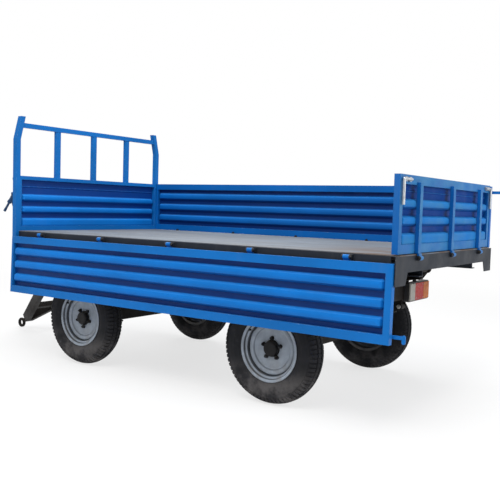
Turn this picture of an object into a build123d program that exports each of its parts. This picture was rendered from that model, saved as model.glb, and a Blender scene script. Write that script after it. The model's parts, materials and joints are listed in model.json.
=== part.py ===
from build123d import *
import os
from math import asin, atan2, cos, degrees, hypot, sin

# Four-wheel farm tipping trailer. Millimetres, +X towards the drawbar, +Y left, +Z up, ground at Z 0.
# Places along X are counted from the middle of the bed, and every piece is moved by FRAME_X when written.

# Bed
BED_FRONT = 1725.0        # inner face of the headboard
BED_REAR = -1740.0        # rear face of the rear beam
BED_OVERHANG = 123.0      # edge of the floor outside the middle of the wheels
FLOOR_SHEET = 5.0
CROSS_HEIGHT = 60.0
CROSS_WIDTH = 45.0
SILL_HEIGHT = 79.0
SILL_WIDTH = 60.0
SIDE_RAIL_HEIGHT = 90.0
SIDE_RAIL_WIDTH = 50.0
SECTION_WALL = 6.0
REAR_WEB = 5.0
REAR_FLANGE = 50.0
REAR_OVERHANG = 9.0       # end of the rear beam past the sides' outer face
REAR_BEAM_HEIGHT = 99.0
REAR_LEG_DROP = 75.0
REAR_LEG_WIDTH = 150.0
REAR_LEG_CHAMFER = 30.0

# Drop panels: the two sides and the tailgate share one section
PANEL_HEIGHT = 469.0
SIDE_REAR_GAP = 5.0       # end of a side to the front of the rear beam's web
SIDE_FRONT_GAP = 5.0
PANEL_GAP = 6.0           # inner face of a closed panel to the bed's edge
HINGE_OUT = 32.5          # hinge axis outside the panel's inner face
HINGE_DROP = 23.0         # hinge axis below the panel's lower edge
TAIL_PLAY = 5.0           # tailgate to the closed sides and to the floor
TAIL_HINGE_OUT = 17.0     # tailgate's hinge axis behind the rear beam's face
TAIL_SET_IN = 7.0         # tailgate's outer face inside its hinge axis
PANEL_DEPTH = 40.0
RAIL_FACE = 56.0
POST_FACE = 42.0
FRONT_POST_FACE = 22.0    # end post of a side beside the headboard
SHEET = 3.0
RIDGE_DEPTH = 30.0
RIDGE_DRAFT = 33.0
RIDGE_END_GAP = 4.0
RIDGE_CORNER = 24.0
RIDGE_COUNT = 3
GROOVE = 30.0
END_RIDGE = 72.0          # ridges of the tailgate and the headboard, with a plain band above them
END_FOOT = 2.0
BEAD_HEIGHT = 10.0
BEAD_RISE = 5.0
STIFFENER_FACE = 42.0
STIFFENER_DEPTH = 24.0
STIFFENER_TOP = 40.0      # the uprights stop this far below the panel's upper edge
SIDE_HINGE_MARGIN = 315.0 # end of a side to the middle of its last hinge
SIDE_HINGE_COUNT = 5
TAIL_HINGE_MARGIN = 271.0
TAIL_HINGE_COUNT = 3
KNUCKLE_RADIUS = 14.0
KNUCKLE_LENGTH = 40.0
HINGE_PIN_RADIUS = 8.0
HINGE_CHEEK = 8.0
HINGE_END_PLAY = 1.0
RUNNING_FIT = 0.05
LEFT_SIDE_LEAN = 1.8      # degrees that the hanging left side stands out from plumb
HOOK_INSET = 46.0         # middle of a hook below the panel's free edge
HOOK_SIZE = 22.0
HOOK_STAND = 5.5
HOOK_PLATE = 10.0
HOOK_ROOT = 50.0
HOOK_REACH = 80.0
HOOK_TURN = 42.0
LATCH_BAR_RADIUS = 9.0
LATCH_STAND = 4.0
LATCH_LENGTH = 136.0
LATCH_INSET = 22.0        # tailgate's end to the handle
LATCH_DROP = 150.0
LATCH_BLOCKS = (62.0, 118.0)    # tailgate's end to the blocks that hold the bar

# Headboard
POST_INSET = 10.0         # inner face of a post inside the bed's edge
HEADBOARD_DROP = 2.0      # top of the headboard below the sides' top
POST_WIDTH = 44.0
POST_DEPTH = 44.0
HEADBOARD_POST = 14.0     # faces of the headboard's frame beside and above its sheet
HEADBOARD_RAIL = 32.0
HEADBOARD_FOOT = 40.0
POST_BELOW = 94.0         # foot of a post below the floor
POST_HEAD = 55.0          # top of a post above the guard's tube
POST_BENT = 195.0         # height of a post's bent end
POST_LEAN = 48.0
GUARD_RISE = 876.0        # guard's tube above the floor
GUARD_TUBE = 40.0
GUARD_UPRIGHT_COUNT = 3
GUARD_UPRIGHT_WIDTH = 50.0
GUARD_UPRIGHT_DEPTH = 30.0
GUARD_UPRIGHT_SPACING = 430.0
LEVER_RISE = 326.0
LEVER_DROP = 164.0
LEVER_BOSS = 30.0
LEVER_REACH = 110.0
LEVER_RADIUS = 9.0

# Chassis and tipping hinge
RAIL_INSIDE = 252.0       # inner face of a rail inside the middle of the wheels
RAIL_WIDTH = 60.0
RAIL_HEIGHT = 110.0
RAIL_TAIL = 138.0         # end of a rail behind the rear spring's eye
RAIL_NOSE = 501.0         # end of a rail ahead of the front axle
RAIL_WALL = 8.0
MEMBER_WIDTH = 50.0
MEMBER_HEIGHT = 100.0
REST_PAD_LENGTH = 120.0
REST_PAD = 5.0
REST_GAP = 0.4
TIP_BACK = 55.0           # tipping shaft behind the rails
TIP_DROP = 25.0           # and below their top
TIP_SHAFT_RADIUS = 20.0
TIP_CHEEK = 10.0
TIP_LUG = 20.0
TIP_SIDE_PLAY = 5.0

# Running gear
TYRE_RADIUS = 372.0
TYRE_WIDTH = 168.0
RIM_SEAT_RADIUS = 206.0
RIM_FLANGE = 16.0
RIM_HALF_WIDTH = 60.0
TRACK = 1454.0
FRONT_AXLE_X = 1019.0
REAR_AXLE_X = -812.0
AXLE_SIZE = 100.0
AXLE_COLLAR = 64.0
SPINDLE_RADIUS = 28.0
HUB_RADIUS = 58.0
HUB_FLANGE_RADIUS = 98.0
HUB_FLANGE = 12.0
HUB_CAP_RADIUS = 50.0
HUB_CAP_END = 48.0
HUB_CAP_BEVEL = 10.0
HUB_BACK = -88.0
HUB_CLEARANCE = 8.0
SPINDLE_END = 16.0
AXLE_COLLAR_RADIUS = 42.0
TYRE_CROWN = 20.0
TYRE_SHOULDER = 22.0
RIM_WALL = 6.0
RIM_STEP = 16.0           # ledge inside the rim, and its height above the wheel's middle
RIM_STEP_FACE = 42.0
DISC = 8.0
DISC_FACE = 14.0
# Steps of the disc's outer face: distance inside the rim's wall, rise above DISC_FACE
DISC_STEPS = ((19.0, 0.0), (28.0, 14.0), (51.0, 14.0), (60.0, 0.0))

# Leaf springs
SPRING_WIDTH = 60.0
LEAF = 9.0
LEAF_COUNT = 6
SPRING_HALF = 380.0
SPRING_CAMBER = 80.0
SPRING_PAD = 6.0
EYE_RADIUS = 23.0
EYE_PIN_RADIUS = 12.0
HANGER_CHEEK = 8.0
HANGER_WIDTH = 90.0
HANGER_PLAY = 1.0
CLAMP_ROD_RADIUS = 7.0
CLAMP_PLATE = 12.0
SPRING_ROOM = 223.0       # spring's seat to the bogie's frame
FRONT_SPRING_INSIDE = 307.0

# Steered bogie and turntable
BOGIE_HEIGHT = 80.0
BOGIE_RAIL_WIDTH = 50.0
BOGIE_TAIL = 99.0         # end of the frame behind the rear spring eye
BOGIE_NOSE = 241.0        # and ahead of the front one
TURNTABLE_HEIGHT = 70.0
RING_OUTER = 410.0
RING_FACE = 80.0
RING_PLATE = 12.0
RING_LIP = 12.0
RING_CLEARANCE = 5.0
RING_SUPPORT = 300.0      # turntable's centre to the members above and below it

# Drawbar
DRAW_HINGE_OUT = 80.0
DRAW_HINGE_DROP = 35.0
DRAW_RUN = 1061.0         # hinge to the tow eye, along the ground
DRAW_PIN_RADIUS = 15.0
DRAW_LUG_RADIUS = 34.0
DRAW_LUG = 12.0
DRAW_SIDE_PLAY = 3.0
DRAW_ARM_WIDTH = 60.0
DRAW_ARM_DEPTH = 80.0
DRAW_STRAIGHT = 190.0
DRAW_HEAD = 110.0
DRAW_HEAD_HALF = 45.0
DRAW_HEAD_OVERLAP = 15.0
DRAW_TIE_BACK = 430.0
DRAW_TIE = 50.0
TOW_EYE_OUTER = 48.0
TOW_EYE_BORE = 23.5
TOW_EYE_WIDTH = 28.0
TOW_EYE_ROUND = 9.0
TOW_SHANK = 36.0

# Tipping ram
RAM_X = -200.0
RAM_HEAD_DROP = 64.0      # head pin below the floor
RAM_CLOSED = 435.0        # head pin to trunnions
RAM_BARREL_RADIUS = 76.0
RAM_STAGE_RADII = (64.0, 52.0, 40.0)
RAM_BASE = 45.0           # trunnions to the barrel's bottom
RAM_HEAD_ROOM = 110.0     # barrel's top to the head pin
RAM_STAGE_STEP = 12.0
RAM_TRUNNION_RADIUS = 20.0
RAM_EYE_RADIUS = 42.0
RAM_EYE_BORE = 32.0
RAM_EYE_WIDTH = 36.0
RAM_NECK = 65.0           # pin down to the last stage's tube
RAM_NECK_HALF = 28.0
RAM_HEAD_PIN_RADIUS = 13.0
RAM_CHEEK_RADIUS = 26.0
RAM_HEAD_SPAN = 180.0
CRADLE_PLATE = 12.0
CRADLE_PLAY = 6.0
CRADLE_HALF = 240.0
CRADLE_EYE_RADIUS = 44.0

# Rear lamps
LAMP_BAR_HEIGHT = 110.0
LAMP_BAR_DEPTH = 35.0
LAMP_INSIDE = 233.0       # middle of a lamp inside the middle of the wheels
LAMP_GAP = 12.5           # top of a lamp below the rails
LAMP_HEIGHT = 145.0
LAMP_DEPTH = 40.0
LAMP_RIM = 8.0
LENS_PROUD = 10.0
LENS_ROUND = 4.0
# Lenses from the inner end: name, width
LENSES = (("white", 95.5), ("red", 161.5), ("amber", 110.0))

CUT_PAST = 1.0            # how far a cut runs past the face that it opens
SIDES = (1, -1)

# Heights, stacked from the ground up
SPRING_SEAT = TYRE_RADIUS + AXLE_SIZE / 2
BOGIE_LOW = SPRING_SEAT + SPRING_ROOM
BOGIE_TOP = BOGIE_LOW + BOGIE_HEIGHT
RAIL_BOTTOM = BOGIE_TOP + TURNTABLE_HEIGHT
RAIL_TOP = RAIL_BOTTOM + RAIL_HEIGHT
SILL_BOTTOM = RAIL_TOP + REST_PAD
SILL_TOP = SILL_BOTTOM + SILL_HEIGHT
BED_UNDER = SILL_TOP + CROSS_HEIGHT
FLOOR_TOP = BED_UNDER + FLOOR_SHEET
HINGE_Z = FLOOR_TOP - HINGE_DROP
HEADBOARD_TOP = FLOOR_TOP + PANEL_HEIGHT - HEADBOARD_DROP
POST_FOOT = FLOOR_TOP - POST_BELOW
GUARD_TUBE_BOTTOM = FLOOR_TOP + GUARD_RISE
POST_TOP = GUARD_TUBE_BOTTOM + GUARD_TUBE + POST_HEAD
POST_BEND = POST_TOP - POST_BENT
LEVER_TOP = FLOOR_TOP + LEVER_RISE
LEVER_BOTTOM = LEVER_TOP - LEVER_DROP
TIP_Z = RAIL_TOP - TIP_DROP
DRAW_HINGE_Z = BOGIE_TOP - DRAW_HINGE_DROP
RAM_HEAD_Z = BED_UNDER - RAM_HEAD_DROP
RAM_FOOT_Z = RAM_HEAD_Z - RAM_CLOSED
RAM_BARREL_LOW = RAM_FOOT_Z - RAM_BASE
RAM_BARREL_HIGH = RAM_HEAD_Z - RAM_HEAD_ROOM
LAMP_CENTRE_Z = RAIL_BOTTOM - LAMP_GAP - LAMP_HEIGHT / 2

# Widths, counted from the middle of the wheels
BED_HALF_WIDTH = TRACK / 2 + BED_OVERHANG
RAIL_INNER = TRACK / 2 - RAIL_INSIDE
REAR_SPRING_Y = RAIL_INNER + RAIL_WIDTH / 2
FRONT_SPRING_Y = TRACK / 2 - FRONT_SPRING_INSIDE
LAMP_CENTRE_Y = TRACK / 2 - LAMP_INSIDE
AXLE_COLLAR_END = TRACK / 2 + HUB_BACK - HUB_CLEARANCE
AXLE_HALF = AXLE_COLLAR_END - AXLE_COLLAR
SIDE_HINGE_Y = BED_HALF_WIDTH + PANEL_GAP + HINGE_OUT
TAILGATE_HALF = BED_HALF_WIDTH + PANEL_GAP - TAIL_PLAY
REAR_HALF_WIDTH = BED_HALF_WIDTH + PANEL_GAP + PANEL_DEPTH + REAR_OVERHANG
HEADBOARD_HALF = BED_HALF_WIDTH - POST_INSET

# Lengths, counted from the bed's ends and the axles
SIDE_FRONT_END = BED_FRONT - SIDE_FRONT_GAP
SIDE_REAR_END = BED_REAR + REAR_WEB + SIDE_REAR_GAP
TAIL_HINGE_X = BED_REAR - TAIL_HINGE_OUT
RAIL_REAR = REAR_AXLE_X - SPRING_HALF - RAIL_TAIL
RAIL_FRONT = FRONT_AXLE_X + RAIL_NOSE
TIP_X = RAIL_REAR - TIP_BACK
BOGIE_REAR = FRONT_AXLE_X - SPRING_HALF - BOGIE_TAIL
BOGIE_FRONT = FRONT_AXLE_X + SPRING_HALF + BOGIE_NOSE
DRAW_HINGE_X = BOGIE_FRONT + DRAW_HINGE_OUT
TOW_EYE_X = DRAW_HINGE_X + DRAW_RUN
LAMP_BACK = RAIL_REAR + LAMP_DEPTH
LAMP_LENGTH = sum(width for name, width in LENSES) + 2 * LAMP_RIM

# Drop panels and wheels
PANEL_INNER = -HINGE_OUT
PANEL_OUTER = PANEL_INNER + PANEL_DEPTH
STIFFENER_OUTER = PANEL_OUTER + STIFFENER_DEPTH
PANEL_EDGE = HINGE_DROP + PANEL_HEIGHT
HANG_TURN = 180.0 - LEFT_SIDE_LEAN
TAIL_SHIFT = -TAIL_SET_IN - STIFFENER_OUTER
RIM_FLANGE_RADIUS = RIM_SEAT_RADIUS + RIM_FLANGE
RING_INNER = RING_OUTER - RING_FACE
FRAME_X = -(TOW_EYE_X + TOW_EYE_OUTER + SIDE_REAR_END - HOOK_REACH) / 2


def block(x0, x1, y0, y1, z0, z1):
    return Pos((x0 + x1) / 2, (y0 + y1) / 2, (z0 + z1) / 2) * Box(x1 - x0, y1 - y0, z1 - z0)


def rod(start, end, radius):
    run = Vector(*end) - Vector(*start)
    return extrude(Plane(origin=start, z_dir=run) * Circle(radius), run.length)


def across(x, z, radius, y0, y1):
    return rod((x, y0, z), (x, y1, z), radius)


def plate(face, y0, y1):
    """A face drawn in X and Z, as a plate from y0 to y1."""
    return extrude(Plane(origin=(0, y0, 0), x_dir=(1, 0, 0), z_dir=(0, -1, 0)) * face, y0 - y1)


def outline(*points):
    return make_face(Polyline(*points, close=True))


def upright_plate(face, x, depth):
    """A face drawn in Y and Z, as a plate from x forward."""
    return extrude(Plane(origin=(x, 0, 0), x_dir=(0, 1, 0), z_dir=(1, 0, 0)) * face, depth)


def both(shape):
    return [shape, mirror(shape, Plane.XZ)]


def channel(x0, x1, y_web, y_lip, z0, z1, wall):
    """A channel along X: its web stands at y_web and its flanges reach to y_lip."""
    towards = 1 if y_lip > y_web else -1
    hollow = sorted((y_web + towards * wall, y_lip + towards * CUT_PAST))
    solid = block(x0, x1, min(y_web, y_lip), max(y_web, y_lip), z0, z1)
    return solid - block(x0 - CUT_PAST, x1 + CUT_PAST, *hollow, z0 + wall, z1 - wall)


def cross_channel(x, width, half, z0, z1, wall):
    """A channel across the trailer, open towards the rear."""
    solid = block(x - width / 2, x + width / 2, -half, half, z0, z1)
    past = half + CUT_PAST
    return solid - block(x - width, x + width / 2 - wall, -past, past, z0 + wall, z1 - wall)


def save(name, shapes):
    """Write one node: a single solid, or like solids that do not touch."""
    solids = [solid for shape in shapes for solid in (Pos(FRAME_X, 0, 0) * shape).solids()]
    export_step(solids[0] if len(solids) == 1 else Compound(solids), f"parts/{name}.step")


# Drop panels, in a hinge frame: X along the hinge, Y outward, Z up the closed panel

def ribbed_sheet(x0, x1, z0, z1, y_base, towards, ridge=None):
    """Pressed sheet whose ridges stand from y_base towards one side and end in slopes.

    The ridges fill the height evenly, or have a given width and leave a band with a bead above them.
    """
    back = y_base - towards * SHEET
    sheet = block(x0, x1, *sorted((y_base, back)), z0, z1)
    foot = END_FOOT if ridge else GROOVE
    width = ridge or (z1 - z0 - (RIDGE_COUNT + 1) * GROOVE) / RIDGE_COUNT
    run = x1 - x0 - 2 * RIDGE_END_GAP
    for number in range(RIDGE_COUNT):
        centre = ((x0 + x1) / 2, z0 + foot + width / 2 + number * (GROOVE + width))
        front = Plane(origin=(centre[0], y_base, centre[1]), x_dir=(1, 0, 0), z_dir=(0, towards, 0))
        rear = Plane(origin=(centre[0], back, centre[1]), x_dir=(1, 0, 0), z_dir=(0, towards, 0))
        pressing = RectangleRounded(run, width, RIDGE_CORNER)
        sheet += extrude(front * pressing, RIDGE_DEPTH, taper=RIDGE_DRAFT)
        hollow = RectangleRounded(run - 2 * SHEET, width - 2 * SHEET, RIDGE_CORNER - SHEET)
        sheet -= extrude(rear * hollow, RIDGE_DEPTH, taper=RIDGE_DRAFT)
    if ridge:
        band = z0 + foot + RIDGE_COUNT * width + (RIDGE_COUNT - 1) * GROOVE
        middle = (band + z1) / 2
        depth = sorted((y_base, y_base + towards * BEAD_RISE))
        sheet += block(x0 + RIDGE_END_GAP, x1 - RIDGE_END_GAP, *depth,
                       middle - BEAD_HEIGHT / 2, middle + BEAD_HEIGHT / 2)
    return sheet


def panel_frame(x0, x1, last_post=POST_FACE):
    frame = block(x0, x1, PANEL_INNER, PANEL_OUTER, HINGE_DROP, PANEL_EDGE)
    clear = (x0 + POST_FACE, x1 - last_post, PANEL_INNER - CUT_PAST, PANEL_OUTER + CUT_PAST)
    return frame - block(*clear, HINGE_DROP + RAIL_FACE, PANEL_EDGE - RAIL_FACE)


def panel_sheet(x0, x1, last_post=POST_FACE):
    """Sheet of a side, with its ridges towards the load."""
    clear = (x0 + POST_FACE, x1 - last_post, HINGE_DROP + RAIL_FACE, PANEL_EDGE - RAIL_FACE)
    return ribbed_sheet(*clear, PANEL_INNER + RIDGE_DEPTH, -1)


def tailgate_sheet(half):
    """Sheet of the tailgate, with its ridges outward."""
    clear = (POST_FACE - half, half - POST_FACE, HINGE_DROP + RAIL_FACE, PANEL_EDGE - RAIL_FACE)
    return ribbed_sheet(*clear, PANEL_OUTER - RIDGE_DEPTH, 1, END_RIDGE)


def stiffener(x, shift=0.0, lift=0.0):
    """Outer upright that ends in a hinge knuckle; shift and lift move the upright from the hinge."""
    half = KNUCKLE_LENGTH / 2
    low = HINGE_DROP + lift
    upright = block(x - STIFFENER_FACE / 2, x + STIFFENER_FACE / 2,
                    PANEL_OUTER + shift, STIFFENER_OUTER + shift, low, PANEL_EDGE - STIFFENER_TOP + lift)
    edge = KNUCKLE_RADIUS if shift == 0 else -KNUCKLE_RADIUS
    lug = block(x - half, x + half, *sorted((0, edge)), 0, low)
    knuckle = rod((x - half, 0, 0), (x + half, 0, 0), KNUCKLE_RADIUS)
    past = half + CUT_PAST
    bore = rod((x - past, 0, 0), (x + past, 0, 0), HINGE_PIN_RADIUS + RUNNING_FIT)
    return upright + lug + knuckle - bore


def hinge_bracket(x, reach):
    """Two cheeks on the bed's edge with the hinge pin between them."""
    inner = KNUCKLE_LENGTH / 2 + HINGE_END_PLAY
    outer = inner + HINGE_CHEEK
    bracket = rod((x - outer, 0, 0), (x + outer, 0, 0), HINGE_PIN_RADIUS)
    for side in SIDES:
        ends = sorted((x + side * inner, x + side * outer))
        bracket += block(*ends, -reach, 0, -KNUCKLE_RADIUS, KNUCKLE_RADIUS)
        bracket += rod((ends[0], 0, 0), (ends[1], 0, 0), KNUCKLE_RADIUS)
    return bracket


def side_hook(x_end):
    """Flat hook that stands off a side's free corner and reaches past the tailgate's end."""
    z = PANEL_EDGE - HOOK_INSET
    half = HOOK_SIZE / 2
    y0 = PANEL_OUTER + HOOK_STAND
    length = HOOK_REACH + HOOK_ROOT
    tip = x_end - HOOK_REACH + half
    face = Pos(x_end + HOOK_ROOT - length / 2, z) * SlotOverall(length, HOOK_SIZE)
    face += Pos(tip, z + HOOK_TURN / 2 - half) * SlotOverall(HOOK_TURN + half, HOOK_SIZE, rotation=90)
    root = block(x_end, x_end + HOOK_ROOT - half, PANEL_OUTER, y0, z - half, z + half)
    return plate(face, y0, y0 + HOOK_PLATE) + root


def corner_latch(side, x_end):
    """Round bar along the tailgate's top corner, turned down into a handle and held by two blocks."""
    y = PANEL_OUTER + LATCH_BAR_RADIUS + LATCH_STAND
    z = PANEL_EDGE - RAIL_FACE / 2
    x_bend = x_end - side * LATCH_INSET
    bar = rod((x_end - side * LATCH_LENGTH, y, z), (x_bend, y, z), LATCH_BAR_RADIUS)
    bar += Pos(x_bend, y, z) * Sphere(LATCH_BAR_RADIUS)
    bar += rod((x_bend, y, z), (x_bend, y, z - LATCH_DROP), LATCH_BAR_RADIUS)
    half = LATCH_BAR_RADIUS + LATCH_STAND
    for distance in LATCH_BLOCKS:
        x = x_end - side * distance
        bar += block(x - half, x + half, PANEL_OUTER, y, z - half, z + half)
    return bar


def place_left(shape, turn=0.0):
    return Pos(0, SIDE_HINGE_Y, HINGE_Z) * Rot(-turn, 0, 0) * shape


def place_tail(shape, shift=0.0, lift=0.0):
    return Pos(TAIL_HINGE_X, 0, HINGE_Z) * Rot(0, 0, 90) * Pos(0, shift, lift) * shape


def spread(count, start, end):
    return [start + (end - start) * number / (count - 1) for number in range(count)]


def side_hinges():
    return spread(SIDE_HINGE_COUNT, SIDE_REAR_END + SIDE_HINGE_MARGIN, SIDE_FRONT_END - SIDE_HINGE_MARGIN)


def build_panels():
    half = TAILGATE_HALF
    side_places = side_hinges()
    tail_places = spread(TAIL_HINGE_COUNT, TAIL_HINGE_MARGIN - half, half - TAIL_HINGE_MARGIN)
    ends = (SIDE_REAR_END, SIDE_FRONT_END)
    side = {
        "sheet": [panel_sheet(*ends, FRONT_POST_FACE)],
        "frame": [panel_frame(*ends, FRONT_POST_FACE)],
        "stiffeners": [stiffener(x) for x in side_places],
        "hook": [side_hook(SIDE_REAR_END)],
    }
    for piece, shapes in side.items():
        save(f"side_left_{piece}", [place_left(shape, HANG_TURN) for shape in shapes])
        save(f"side_right_{piece}", [mirror(place_left(shape), Plane.XZ) for shape in shapes])
    tail = {
        "sheet": [tailgate_sheet(half)],
        "frame": [panel_frame(-half, half)],
        "latches": [corner_latch(end, end * half) for end in SIDES],
    }
    for piece, shapes in tail.items():
        save(f"tailgate_{piece}", [place_tail(shape, TAIL_SHIFT, TAIL_PLAY) for shape in shapes])
    save("tailgate_stiffeners", [place_tail(stiffener(x, TAIL_SHIFT, TAIL_PLAY)) for x in tail_places])
    brackets = [place_left(hinge_bracket(x, PANEL_GAP + HINGE_OUT)) for x in side_places]
    brackets += [mirror(bracket, Plane.XZ) for bracket in brackets]
    brackets += [place_tail(hinge_bracket(x, TAIL_HINGE_OUT)) for x in tail_places]
    save("panel_hinge_brackets", brackets)


# Bed

def rear_beam():
    """Rear web with two legs, stiffened by flanges between the side rails."""
    low = BED_UNDER - REAR_BEAM_HEIGHT
    leg = low - REAR_LEG_DROP
    inner = REAR_HALF_WIDTH - REAR_LEG_WIDTH
    right = [(REAR_HALF_WIDTH, BED_UNDER), (REAR_HALF_WIDTH, leg), (inner, leg),
             (inner - REAR_LEG_CHAMFER, low)]
    left = [(-y, z) for y, z in reversed(right)]
    web = upright_plate(outline(*right, *left), BED_REAR, REAR_WEB)
    front = BED_REAR + REAR_WEB + REAR_FLANGE
    for z in (BED_UNDER, low + SECTION_WALL):
        web += block(BED_REAR + REAR_WEB, front, -BED_HALF_WIDTH, BED_HALF_WIDTH, z - SECTION_WALL, z)
    return web


def headboard_post():
    """Post bent inwards at the top, with a latch lever on its front."""
    inner, outer = HEADBOARD_HALF, HEADBOARD_HALF + POST_WIDTH
    face = outline((inner, POST_FOOT), (outer, POST_FOOT), (outer, POST_BEND),
                   (outer - POST_LEAN, POST_TOP), (inner - POST_LEAN, POST_TOP), (inner, POST_BEND))
    post = upright_plate(face, BED_FRONT, POST_DEPTH)
    x, y, half = BED_FRONT + POST_DEPTH, HEADBOARD_HALF + POST_WIDTH / 2, LEVER_BOSS / 2
    post += block(x, x + LEVER_BOSS, y - half, y + half, LEVER_TOP - LEVER_BOSS, LEVER_TOP)
    start = (x + half, y, LEVER_TOP - half)
    return post + rod(start, (x + LEVER_REACH, outer, LEVER_BOTTOM), LEVER_RADIUS)


def post_inner(z):
    """Inner face of a bent post at a height."""
    return HEADBOARD_HALF - POST_LEAN * max(z - POST_BEND, 0.0) / POST_BENT


def guard():
    """Top tube between the bent posts, carried by three uprights on the headboard."""
    x0 = BED_FRONT + (POST_DEPTH - GUARD_UPRIGHT_DEPTH) / 2
    x1 = x0 + GUARD_UPRIGHT_DEPTH
    top = GUARD_TUBE_BOTTOM + GUARD_TUBE
    low_end, high_end = post_inner(GUARD_TUBE_BOTTOM), post_inner(top)
    face = outline((low_end, GUARD_TUBE_BOTTOM), (high_end, top),
                   (-high_end, top), (-low_end, GUARD_TUBE_BOTTOM))
    frame = upright_plate(face, x0, GUARD_UPRIGHT_DEPTH)
    half = GUARD_UPRIGHT_WIDTH / 2
    for y in spread(GUARD_UPRIGHT_COUNT, -GUARD_UPRIGHT_SPACING, GUARD_UPRIGHT_SPACING):
        frame += block(x0, x1, y - half, y + half, HEADBOARD_TOP, GUARD_TUBE_BOTTOM)
    return frame


def headboard():
    """Frame and ribbed sheet between the posts; the ridges face the load, as on the sides."""
    turn = Pos(BED_FRONT, 0, 0) * Rot(0, 0, -90)
    half, top = HEADBOARD_HALF, HEADBOARD_TOP
    frame = block(-half, half, 0, PANEL_DEPTH, FLOOR_TOP, top)
    clear = (HEADBOARD_POST - half, half - HEADBOARD_POST)
    low, high = FLOOR_TOP + HEADBOARD_FOOT, top - HEADBOARD_RAIL
    frame -= block(*clear, -CUT_PAST, PANEL_DEPTH + CUT_PAST, low, high)
    sheet = ribbed_sheet(*clear, low, high, RIDGE_DEPTH, -1, END_RIDGE)
    return turn * frame, turn * sheet


def build_bed():
    save("bed_floor", [block(BED_REAR, BED_FRONT, -BED_HALF_WIDTH, BED_HALF_WIDTH, BED_UNDER, FLOOR_TOP)])
    rear = BED_REAR + REAR_WEB + REAR_FLANGE
    sill = channel(rear - REAR_FLANGE, BED_FRONT, RAIL_INNER, RAIL_INNER + SILL_WIDTH,
                   SILL_BOTTOM, SILL_TOP, SECTION_WALL)
    sill -= block(rear - REAR_FLANGE - CUT_PAST, rear, 0, BED_HALF_WIDTH,
                  BED_UNDER - REAR_BEAM_HEIGHT, BED_UNDER)
    rail_inner = BED_HALF_WIDTH - SIDE_RAIL_WIDTH
    rail = channel(rear, BED_FRONT, BED_HALF_WIDTH, rail_inner, BED_UNDER - SIDE_RAIL_HEIGHT,
                   BED_UNDER, SECTION_WALL)
    save("bed_rails", both(sill) + both(rail))
    stations = side_hinges()
    stations += [RAM_X + side * RAM_HEAD_SPAN / 2 for side in SIDES]
    members = [cross_channel(x, CROSS_WIDTH, rail_inner, SILL_TOP, BED_UNDER, SECTION_WALL)
               for x in stations]
    front = BED_FRONT + POST_DEPTH
    beam = block(BED_FRONT, front, -HEADBOARD_HALF, HEADBOARD_HALF, POST_FOOT, FLOOR_TOP)
    past = HEADBOARD_HALF + CUT_PAST
    beam -= block(BED_FRONT + SECTION_WALL, front + CUT_PAST, -past, past,
                  POST_FOOT + SECTION_WALL, FLOOR_TOP - SECTION_WALL)
    save("bed_cross_members", [*members, beam])
    save("rear_beam", [rear_beam()])
    frame, sheet = headboard()
    save("headboard_frame", [frame])
    save("headboard_sheet", [sheet])
    save("headboard_posts", both(headboard_post()))
    save("headboard_guard", [guard()])
    save("bed_tipping_brackets", [*both(tip_lug()), ram_head_bracket()])


def tip_lug():
    """Eye below a sill that turns on the tipping shaft."""
    y0 = RAIL_INNER + (RAIL_WIDTH - TIP_LUG) / 2
    radius = SILL_BOTTOM - TIP_Z
    lug = block(TIP_X - radius, TIP_X + radius, y0, y0 + TIP_LUG, TIP_Z, SILL_BOTTOM)
    lug += across(TIP_X, TIP_Z, radius, y0, y0 + TIP_LUG)
    bore = TIP_SHAFT_RADIUS + RUNNING_FIT
    return lug - across(TIP_X, TIP_Z, bore, y0 - CUT_PAST, y0 + TIP_LUG + CUT_PAST)


def ram_head_bracket():
    """Two cheeks between the middle cross members, with the pin that the ram lifts."""
    inner = RAM_EYE_WIDTH / 2 + CRADLE_PLAY
    outer = inner + CRADLE_PLATE
    half = (RAM_HEAD_SPAN - CROSS_WIDTH) / 2
    bracket = across(RAM_X, RAM_HEAD_Z, RAM_HEAD_PIN_RADIUS, -outer, outer)
    cheek = outline((RAM_X - half, BED_UNDER), (RAM_X + half, BED_UNDER),
                    (RAM_X + RAM_CHEEK_RADIUS, RAM_HEAD_Z), (RAM_X - RAM_CHEEK_RADIUS, RAM_HEAD_Z))
    cheek += Pos(RAM_X, RAM_HEAD_Z) * Circle(RAM_CHEEK_RADIUS)
    for side in SIDES:
        bracket += plate(cheek, *sorted((side * inner, side * outer)))
    return bracket


# Chassis

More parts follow.
